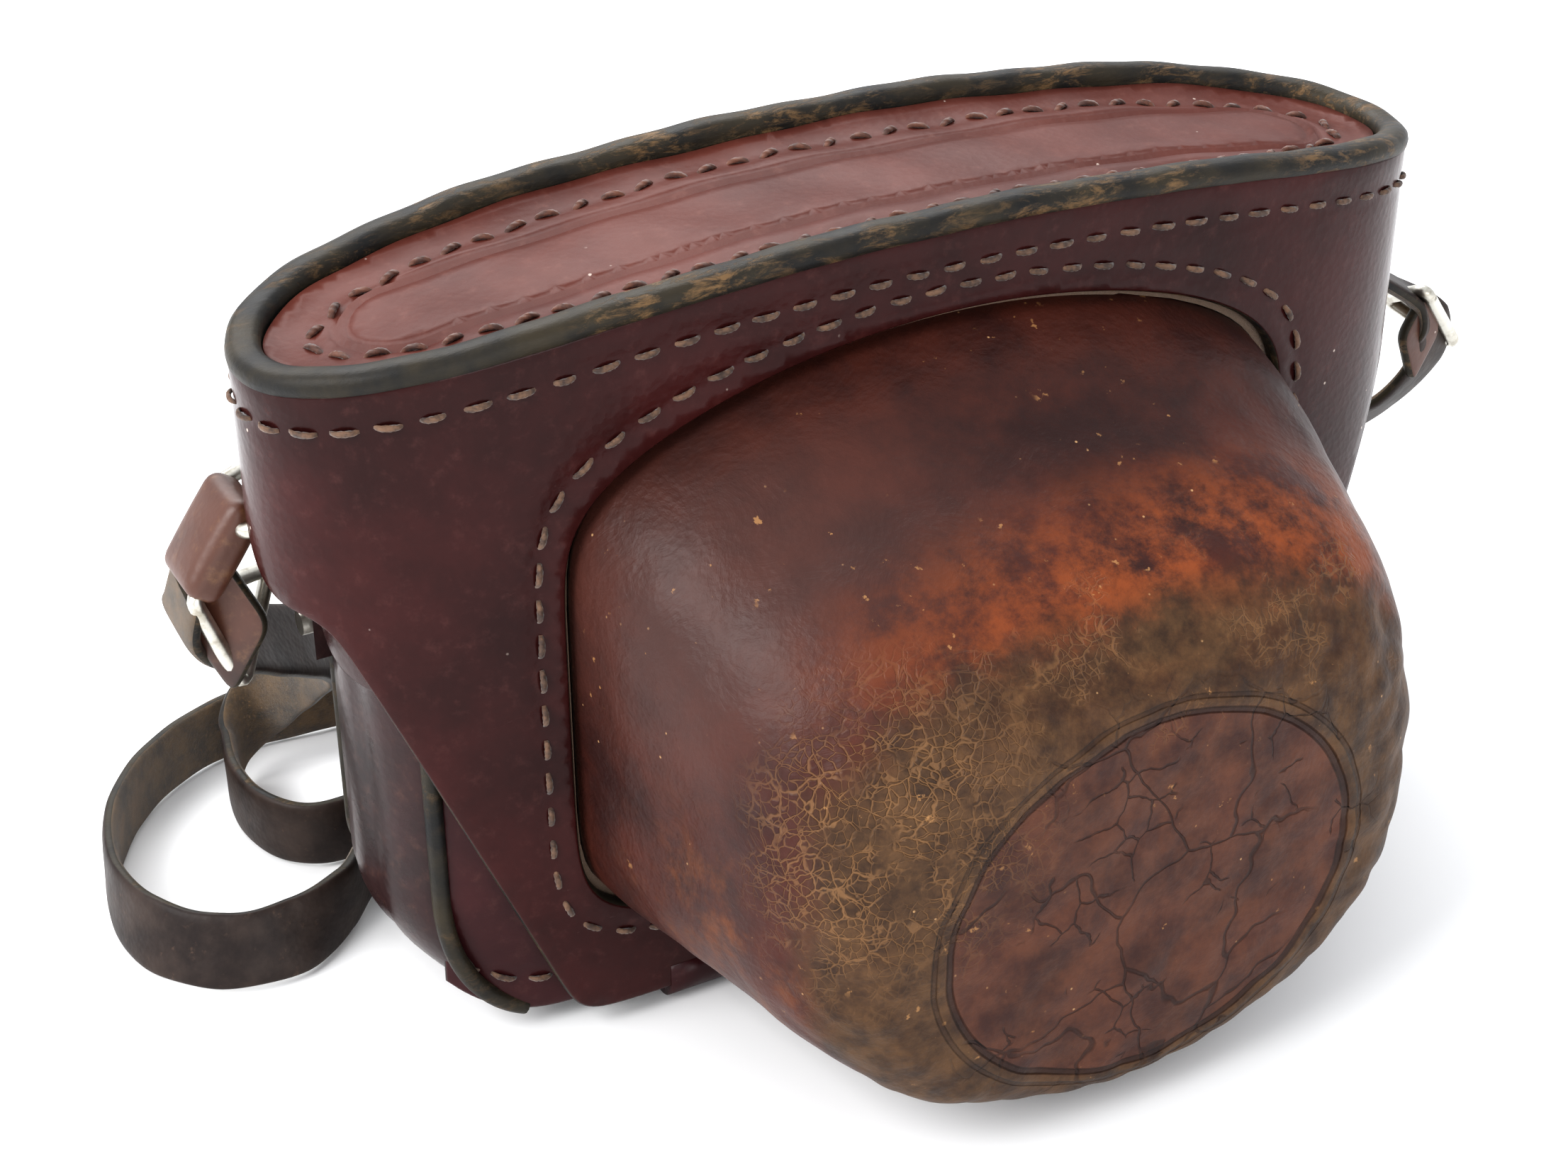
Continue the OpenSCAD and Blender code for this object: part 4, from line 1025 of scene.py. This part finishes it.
def spline(rows, steps):
    out = []
    n = len(rows)
    for i in range(n - 1):
        a, b, c, d = rows[max(i - 1, 0)], rows[i], rows[i + 1], rows[min(i + 2, n - 1)]
        for t in np.arange(steps) / steps:
            cubic = (3 * b - a - 3 * c + d) * t**3
            out.append(0.5 * (2 * b + (c - a) * t + (2 * a - 5 * b + 4 * c - d) * t * t + cubic))
    out.append(rows[-1])
    return np.array(out)


SIDES = 300
shape = spline(np.concatenate([STATIONS, CAP]), 14)
outer = [np.insert(section(s, 0, SIDES), 1, -s[0], axis=1) for s in shape]
inner = []
for s in shape[::-4]:
    back = 0 if s[0] <= STATIONS[0][0] else 2.4
    w = section(s, -2.4, SIDES) if s[1] > 3 else section(s, 0, SIDES)
    inner.append(np.insert(w, 1, -(s[0] - back), axis=1))
rings = np.array(outer + inner)
rows = len(rings)
verts = rings.reshape(-1, 3)
faces = []
for r in range(rows):
    q = (r + 1) % rows
    if r == len(outer) - 1:
        continue
    for i in range(SIDES):
        j = (i + 1) % SIDES
        faces.append((r * SIDES + i, q * SIDES + i, q * SIDES + j, r * SIDES + j))
last = len(outer) - 1
faces.append(tuple(last * SIDES + i for i in range(SIDES)))
faces.append(tuple((last + 1) * SIDES + i for i in range(SIDES)))
snout = make("snout_leather_shell", verts, faces, SNOUT)
mesh = snout.data
normals = np.array([v.normal for v in mesh.vertices])
co = np.array([v.co for v in mesh.vertices]) / MM
lift = np.zeros(len(co))
for i, p in enumerate(co[: len(outer) * SIDES]):
    big_one = noise.noise(Vector(p) * 0.07) * 0.55
    mid_one = noise.noise(Vector(p) * 0.21 + Vector((7, 3, 1))) * 0.22
    front = min(1, max(0, (-p[1] - 48) / 10))
    crease = (abs(noise.noise(Vector(p) * 0.16 + Vector((2, 9, 4)))) - 0.25) * 0.7 * front
    lift[i] = (big_one + mid_one + crease) * min(1, max(0, (-p[1] - 22) / 10))
badge = np.sqrt(((co[:, 0] - 1.2) / 27) ** 2 + ((co[:, 2] - 31.5) / 23.4) ** 2)
on_front = co[:, 1] < -58
lift -= np.where(on_front, 0.35 * np.clip((1.04 - badge) / 0.05, 0, 1), 0)
co += normals * lift[:, None]
mesh.vertices.foreach_set("co", (co * MM).astype(np.float32).ravel())
mesh.update()
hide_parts("snout")

# the tongue's bend between the cover and the half case
TONGUE_HALF = 38
arc = np.linspace(math.pi, 1.5 * math.pi, 14)
bend_out = np.stack([-17.1 + 3.4 * np.cos(arc), 3.4 + 3.4 * np.sin(arc)], 1)
bend_in = np.stack([-17.1 + 1.4 * np.cos(arc), 3.4 + 1.4 * np.sin(arc)], 1)
bend_out = np.concatenate([[(-20.4, 6)], bend_out, [(-14, 0.05)]])
bend_in = np.concatenate([[(-18.6, 6)], bend_in, [(-14, 2.0)]])
tongue_loop = np.concatenate([bend_out, bend_in[::-1]])
cuts = 20
verts = [(x, y, z) for x in np.linspace(-TONGUE_HALF, TONGUE_HALF, cuts) for y, z in tongue_loop]
k = len(tongue_loop)
faces = [face[::-1] for i in range(cuts - 1) for face in link_rings(i * k, (i + 1) * k, k)]
faces += [tuple(range(k))[::-1], tuple((cuts - 1) * k + a for a in range(k))]
bend_piece = make("tongue_bend", verts, faces, PANEL)

# ---------------------------------------------------------------- the lower half
half = Outline(HALF_A, HALF_B, HALF_BOW)
on_half = wall_place(half)
CORNER = 18.0
ARM_TOP, PANEL_END = high("lower_front_panel")[2], high("lower_front_panel")[0]
BACK_TOP = high("lower_back_panel")[2]
LENS_Z, LENS_CUT = 41.0, 25.5


def half_low(x):
    x = np.abs(np.asarray(x, float))
    over = np.clip(x - (HALF_A - CORNER), 0, CORNER)
    return HALF_FLOOR + CORNER - np.sqrt(CORNER**2 - over**2)


xs = np.linspace(-PANEL_END, PANEL_END, 120)
cut_angle = np.linspace(0, -math.pi, 60)
front_xz = np.concatenate([
    np.stack([xs, half_low(xs)], 1),
    [(PANEL_END, ARM_TOP), (LENS_CUT, ARM_TOP), (LENS_CUT, LENS_Z)],
    np.stack([LENS_CUT * np.cos(cut_angle), LENS_Z + LENS_CUT * np.sin(cut_angle)], 1)[1:-1],
    [(-LENS_CUT, LENS_Z), (-LENS_CUT, ARM_TOP), (-PANEL_END, ARM_TOP)],
])
front_loop = np.stack([half.front(front_xz[:, 0]), front_xz[:, 1]], 1)
hem_x = np.linspace(-PANEL_END + 1, PANEL_END - 1, 200)
hem = np.stack([half.front(hem_x), half_low(hem_x) + 5], 1)


def hem_relief(line):
    def relief(uv):
        return -0.25 * np.exp(-((distance(uv, line) / 0.9) ** 2))
    return relief


front_panel = leather("front_panel_leather", [front_loop], on_half, PANEL, relief=hem_relief(hem))
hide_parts("lower_front_panel")


hem_thread = row_on(half, "front_hem_stitches", hem, 4.6, cover=0.68)

turn = half.total / 2
back_x = np.linspace(PANEL_END, -PANEL_END, 120)
back_u = turn - np.array([half.front(x) for x in back_x])
back_uv = np.concatenate([
    np.stack([back_u, half_low(back_x)], 1),
    [(back_u[-1], BACK_TOP), (back_u[0], BACK_TOP)],
])
back_uv = fillet(back_uv, [0] * 120 + [8, 8])
back_hem = np.stack([back_u[4:-4], half_low(back_x)[4:-4] + 5], 1)
back_panel = leather(
    "back_panel_leather", [back_uv], on_half, PANEL, relief=hem_relief(back_hem), step=2.2,
)
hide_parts("lower_back_panel")
back_thread = row_on(half, "back_hem_stitches", back_hem, 4.6, cover=0.68)

# the gusset: one strip down each end and under the floor
FLAT = HALF_A - CORNER
ARC = CORNER * math.pi / 2
END_TOP = high("right_gusset")[2]
STRIP = FLAT + ARC + END_TOP - HALF_FLOOR - CORNER


def strip_path(s):
    a = np.abs(s)
    t = np.clip((a - FLAT) / CORNER, 0, math.pi / 2)
    x = np.minimum(a, FLAT) + CORNER * np.sin(t)
    z = HALF_FLOOR + CORNER - CORNER * np.cos(t) + np.maximum(0, a - FLAT - ARC)
    nx, nz = np.sin(t), -np.cos(t)
    return np.sign(s) * x, z, np.sign(s) * nx, nz, t / (math.pi / 2)


def strip_place(uv, off):
    x, z, nx, nz, w = strip_path(uv[:, 0])
    y = uv[:, 1]
    g = HALF_A - HALF_A * np.maximum(1 - (y / HALF_B) ** 2, 0.001) ** (1 / HALF_BOW)
    g = g * w**1.5
    return np.stack([x + nx * (off - g), y, z + nz * (off - g)], 1)


def strip_edge(s, side):
    w = strip_path(np.asarray(s, float))[4]
    front_y, back_y, floor_y = -11.9, 9.0, 14.6
    wall_y = front_y if side < 0 else back_y
    floor_edge = math.copysign(floor_y, side)
    return floor_edge + (wall_y - floor_edge) * w**2


ss = np.linspace(-STRIP, STRIP, 240)
strip_loop = np.concatenate([
    np.stack([ss, strip_edge(ss, -1)], 1),
    np.stack([ss[::-1], strip_edge(ss[::-1], 1)], 1),
])
screw_x = (low("screw_grommet")[0] + high("screw_grommet")[0]) / 2
ring_t = np.linspace(0, 2 * math.pi, 48)[:-1]
screw_hole = np.stack([screw_x + 7 * np.cos(ring_t), 7 * np.sin(ring_t)], 1)


def strip_relief(uv):
    w = strip_path(uv[:, 0])[4]
    wander = 0.8 * np.sin(uv[:, 0] * 0.12)
    front_crease = -0.55 * np.exp(-(((uv[:, 1] + 3.5 + wander) / 1.5) ** 2))
    back_crease = -0.35 * np.exp(-(((uv[:, 1] - 4) / 1.2) ** 2))
    return (front_crease + back_crease) * w


gusset = leather(
    "gusset_leather_strip", [strip_loop, screw_hole], strip_place, GUSSET, relief=strip_relief, edge=0.6,
)
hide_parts("left_gusset", "right_gusset")

seams = []
for side in (-1, 1):
    s_line = np.linspace(FLAT + 4, STRIP - 1, 90)
    uv = np.stack([side * s_line, strip_edge(s_line, -1) - 0.5], 1)
    pts = strip_place(uv, np.full(len(uv), 0.25))
    seams.append(tube(f"rolled_seam_{'left' if side < 0 else 'right'}", pts, 1.15, CUT, sides=12))
    uv = np.stack([side * s_line, strip_edge(s_line, 1) + 0.3], 1)
    pts = strip_place(uv, np.full(len(uv), 0.15))
    seams.append(tube(f"back_seam_{'left' if side < 0 else 'right'}", pts, 0.9, CUT, sides=12))

# a short leaf of leather round each end, just under the cover's edge
for side in (-1, 1):
    near, far = half.front(62.0), half.front(HALF_A) + 5.0
    corners = [(near, 51), (near + 6, 48.5), (far - 6, 49.5), (far, 54), (far, 63), (near, 63)]
    leaf = fillet(corners, [1, 4, 4, 3, 1, 1], 6)
    leaf[:, 0] *= side
    piece = leather(
        f"end_collar_{'left' if side < 0 else 'right'}", [leaf], lambda uv, off: on_half(uv, off + 1.15),
        GUSSET, thick=1.1, edge=0.45, step=1.2,
    )
    seams.append(piece)

# the closing tab and its hem
TAB_Y = high("closing_tab")[1]
tab_box = (low("closing_tab"), high("closing_tab"))
half_tab = tab_box[1][0]
stud_z = (low("stud_cap")[2] + high("stud_cap")[2]) / 2
tab_angle = np.linspace(math.asin((tab_box[1][2] - stud_z) / half_tab), 0, 12)
tab_xz = [(half_tab, tab_box[0][2])]
tab_xz += [(half_tab * math.cos(a), stud_z + half_tab * math.sin(a)) for a in tab_angle[::-1]]
tab_xz += [(-x, z) for x, z in tab_xz[::-1]]
tab_loop = fillet(tab_xz, 1.5, 4)
stud_hole = np.stack([3.2 * np.cos(ring_t), stud_z + 3.2 * np.sin(ring_t)], 1)
tab_face = plane_place((0, TAB_Y, 0), (-1, 0, 0), (0, 0, 1))
tab = leather("closing_tab_leather", [tab_loop, stud_hole], tab_face, PANEL, edge=0.5, step=1.2)
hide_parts("closing_tab")
tab_row = fillet([(half_tab - 2, 69), (half_tab - 2, 90), (-half_tab + 2, 90), (-half_tab + 2, 69)], 5, 10)
tab_path = np.stack([-tab_row[:, 0], np.full(len(tab_row), TAB_Y), tab_row[:, 1]], 1)
tab_normals = np.tile((0.0, 1.0, 0.0), (len(tab_path), 1))
tab_thread = stitches("tab_stitches", tab_path, tab_normals, THREAD, pitch=3.6, size=0.35)

# ---------------------------------------------------------------- strap ends
RING_Y = 11.0
LUG_Z = high("left_lug_tab")[2] - 2.6
RING_IN, REACH, TILT, DROP = 71.0, {-1: 6.5, 1: 10.0}, {-1: 55.0, 1: 38.0}, 2.5
RING_HALF = 6.2


def wire(name, corners, bend=2.0, r=0.98):
    loop = resample(fillet(np.array(corners, float), bend, 9), 0.5)
    return tube(name, loop, r, NICKEL, ring=True, sides=14)


def rounded_block(name, origin, ex, ey, ez, size, radius, material, bulge=0.0, cells=14):
    """A leather block with rounded edges, from its own corner-free box."""
    mesh = bpy.data.meshes.new(name)
    bm = bmesh.new()
    bmesh.ops.create_cube(bm, size=2.0)
    bmesh.ops.subdivide_edges(bm, edges=bm.edges, cuts=cells, use_grid_fill=True)
    h = np.array(size) / 2
    for v in bm.verts:
        p = np.array(v.co) * h
        q = np.clip(p, -(h - radius), h - radius)
        d = p - q
        l = np.linalg.norm(d)
        p = q + d / l * radius if l > 1e-9 else p
        swell = bulge * (1 - (p[0] / h[0]) ** 2) * (1 - (p[1] / h[1]) ** 2)
        p[2] += math.copysign(swell, p[2])
        w = origin + ex * p[0] + ey * p[1] + ez * p[2]
        v.co = Vector(w * MM)
    bmesh.ops.recalc_face_normals(bm, faces=bm.faces)
    bm.to_mesh(mesh)
    bm.free()
    mesh.polygons.foreach_set("use_smooth", [True] * len(mesh.polygons))
    mesh.materials.append(material)
    obj = bpy.data.objects.new(name, mesh)
    bpy.context.scene.collection.objects.link(obj)
    return obj


hardware = []
for side, word in ((-1, "left"), (1, "right")):
    out = side * (RING_IN + REACH[side])
    ring = wire(f"{word}_ring_wire", [
        (side * RING_IN, RING_Y - RING_HALF, LUG_Z), (side * RING_IN, RING_Y + RING_HALF, LUG_Z),
        (out, RING_Y + RING_HALF, LUG_Z - DROP), (out, RING_Y - RING_HALF, LUG_Z - DROP),
    ])
    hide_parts(f"{word}_ring")
    t = math.radians(TILT[side])
    ex = np.array((side * math.cos(t), 0, -math.sin(t)))
    ez = np.array((side * math.sin(t), 0, math.cos(t)))
    ey = np.cross(ez, ex)
    centre = np.array((out, RING_Y, LUG_Z - DROP)) + ex * 3.5
    keeper = rounded_block(
        f"{word}_keeper_leather", centre, ex, ey, ez, (13, 10.4, 4.6), 1.7, KEEPER, bulge=0.5,
    )
    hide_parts(f"{word}_keeper")
    hardware += [ring, keeper]
left_buckle = wire("left_buckle_wire", [(-84, 7, 58), (-72, 16, 54), (-79, 8, 44)])
right_buckle = wire("right_buckle_wire", [(96, 6, 57), (97, 15, 52), (106, 9, 45)])
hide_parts("left_buckle")
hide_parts("right_buckle")
hardware += [left_buckle, right_buckle]

diamond = fillet([(0, 5), (5.6, -4), (0.6, -13.5), (-5.2, -4.5)], 2.2, 6)
left_end = plane_place((-80.2, 8.2, 57), (0.82, -0.57, 0), (0.08, 0.1, 1))
tongue_left = leather("left_strap_tongue", [diamond], left_end, KEEPER, thick=1.8, step=1.0)
right_end = plane_place((97.5, 6.6, 53), (0.95, 0.2, -0.2), (0.1, 0, 1))
tongue_right = leather("right_strap_tongue", [diamond * 0.85], right_end, KEEPER, thick=1.8, step=1.0)
hardware += [tongue_left, tongue_right]

# ---------------------------------------------------------------- the neck strap
places = spline(np.array([p for p, _ in ROUTE], float), 14)
directions = np.array([unit(d) for _, d in ROUTE])
cross_dirs = []
for i in range(len(ROUTE) - 1):
    for t in np.arange(14) / 14:
        cross_dirs.append(unit(directions[i] * (1 - t) + directions[i + 1] * t))
cross_dirs.append(directions[-1])
cross_dirs = np.array(cross_dirs)
along = unit(np.gradient(places, axis=0))
w_dir = unit(cross_dirs - along * (along * cross_dirs).sum(1, keepdims=True))
h_dir = unit(np.cross(along, w_dir))
around = np.linspace(0, 2 * math.pi, 29)[:-1]
px = np.sign(np.cos(around)) * np.abs(np.cos(around)) ** 0.42
pz = np.sign(np.sin(around)) * np.abs(np.sin(around)) ** 0.62
verts, faces, tones = [], [], []
run = np.concatenate([[0], np.cumsum(np.linalg.norm(np.diff(places, axis=0), axis=1))])
for i, p in enumerate(places):
    edge_wave = 0.14 * math.sin(run[i] * 0.23) + 0.1 * math.sin(run[i] * 0.71 + 1)
    for a, b in zip(px, pz):
        half_w = STRAP_W / 2 - 0.15 + edge_wave * 0.5
        verts.append(p + w_dir[i] * a * half_w + h_dir[i] * b * (STRAP_T / 2 - 0.1) + h_dir[i] * 0.12 * a * a)
k = len(around)
for i in range(len(places) - 1):
    for a in range(k):
        b = (a + 1) % k
        faces.append((i * k + a, (i + 1) * k + a, (i + 1) * k + b, i * k + b))
        mid = (around[a] + math.pi / k) % (2 * math.pi)
        tones.append(0 if 0.12 < mid < math.pi - 0.12 else 1 if math.pi + 0.12 < mid < 2 * math.pi - 0.12 else 2)
faces.append(tuple(range(k))[::-1])
faces.append(tuple((len(places) - 1) * k + a for a in range(k)))
tones += [2, 2]
strap = make("neck_strap_leather", verts, faces, STRAP_OUT)
strap.data.materials.append(STRAP_IN)
strap.data.materials.append(CUT)
strap.data.polygons.foreach_set("material_index", tones)
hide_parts("neck_strap")
[c * MM for c in ROUTE[0][0]]

# ---------------------------------------------------------------- what each piece rides on
for piece in (wall, rim, tray, tray_thread, rim_thread, ring_thread, snout):
    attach(piece, "cover")
for piece in (front_panel, hem_thread, back_panel, back_thread, gusset, strap, *seams, *hardware):
    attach(piece, "half_case")
for piece in (tab, tab_thread):
    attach(piece, "closing_tab")
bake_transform(bend_piece)

# ---------------------------------------------------------------- floor, light and camera
scene = bpy.context.scene
floor_mesh = bpy.data.meshes.new("floor")
floor_mesh.from_pydata([(-3, -3, 0), (3, -3, 0), (3, 3, 0), (-3, 3, 0)], [], [(0, 1, 2, 3)])
floor = bpy.data.objects.new("floor", floor_mesh)
scene.collection.objects.link(floor)
look = Look("pale_paper")
look.done(look.mix(look.noise(40, 2), (0.9, 0.9, 0.9), (0.92, 0.92, 0.92)), 0.9, spec=0.1)
floor_mesh.materials.append(look.m)

world = bpy.data.worlds.new("studio")
scene.world = world
world.use_nodes = True
world.node_tree.nodes["Background"].inputs["Color"].default_value = (0.95, 0.97, 1, 1)
world.node_tree.nodes["Background"].inputs["Strength"].default_value = 1.0


def lamp(name, at, to, size, watts, tint=(1, 1, 1)):
    light = bpy.data.lights.new(name, "AREA")
    light.shape = "RECTANGLE"
    light.size, light.size_y = size
    light.energy = watts
    light.color = tint
    obj = bpy.data.objects.new(name, light)
    scene.collection.objects.link(obj)
    obj.location = at
    obj.rotation_euler = (Vector(to) - Vector(at)).to_track_quat("-Z", "Y").to_euler()
    return obj


lamp("softbox_left", (-0.9, -0.1, 0.75), (0, 0, 0.05), (0.7, 0.7), 12)
lamp("softbox_back", (0.15, 0.8, 0.9), (0, 0, 0.05), (1.1, 0.6), 10)
lamp("fill_front", (-0.1, -1.1, 0.35), (0, 0, 0.05), (0.6, 0.4), 2.5)

lens = bpy.data.cameras.new("camera")
lens.lens = 61.4
lens.sensor_width = 36
camera = bpy.data.objects.new("camera", lens)
scene.collection.objects.link(camera)
camera.location = (-0.1504, -0.2544, 0.2141)
look_dir = Vector((0.41345, 0.75393, -0.51053))
quat = look_dir.to_track_quat("-Z", "Y")
camera.rotation_euler = (quat @ Matrix.Rotation(math.radians(-0.137), 4, "Z").to_quaternion()).to_euler()
scene.camera = camera
scene.view_settings.view_transform = "Standard"
scene.view_settings.look = "Medium High Contrast"
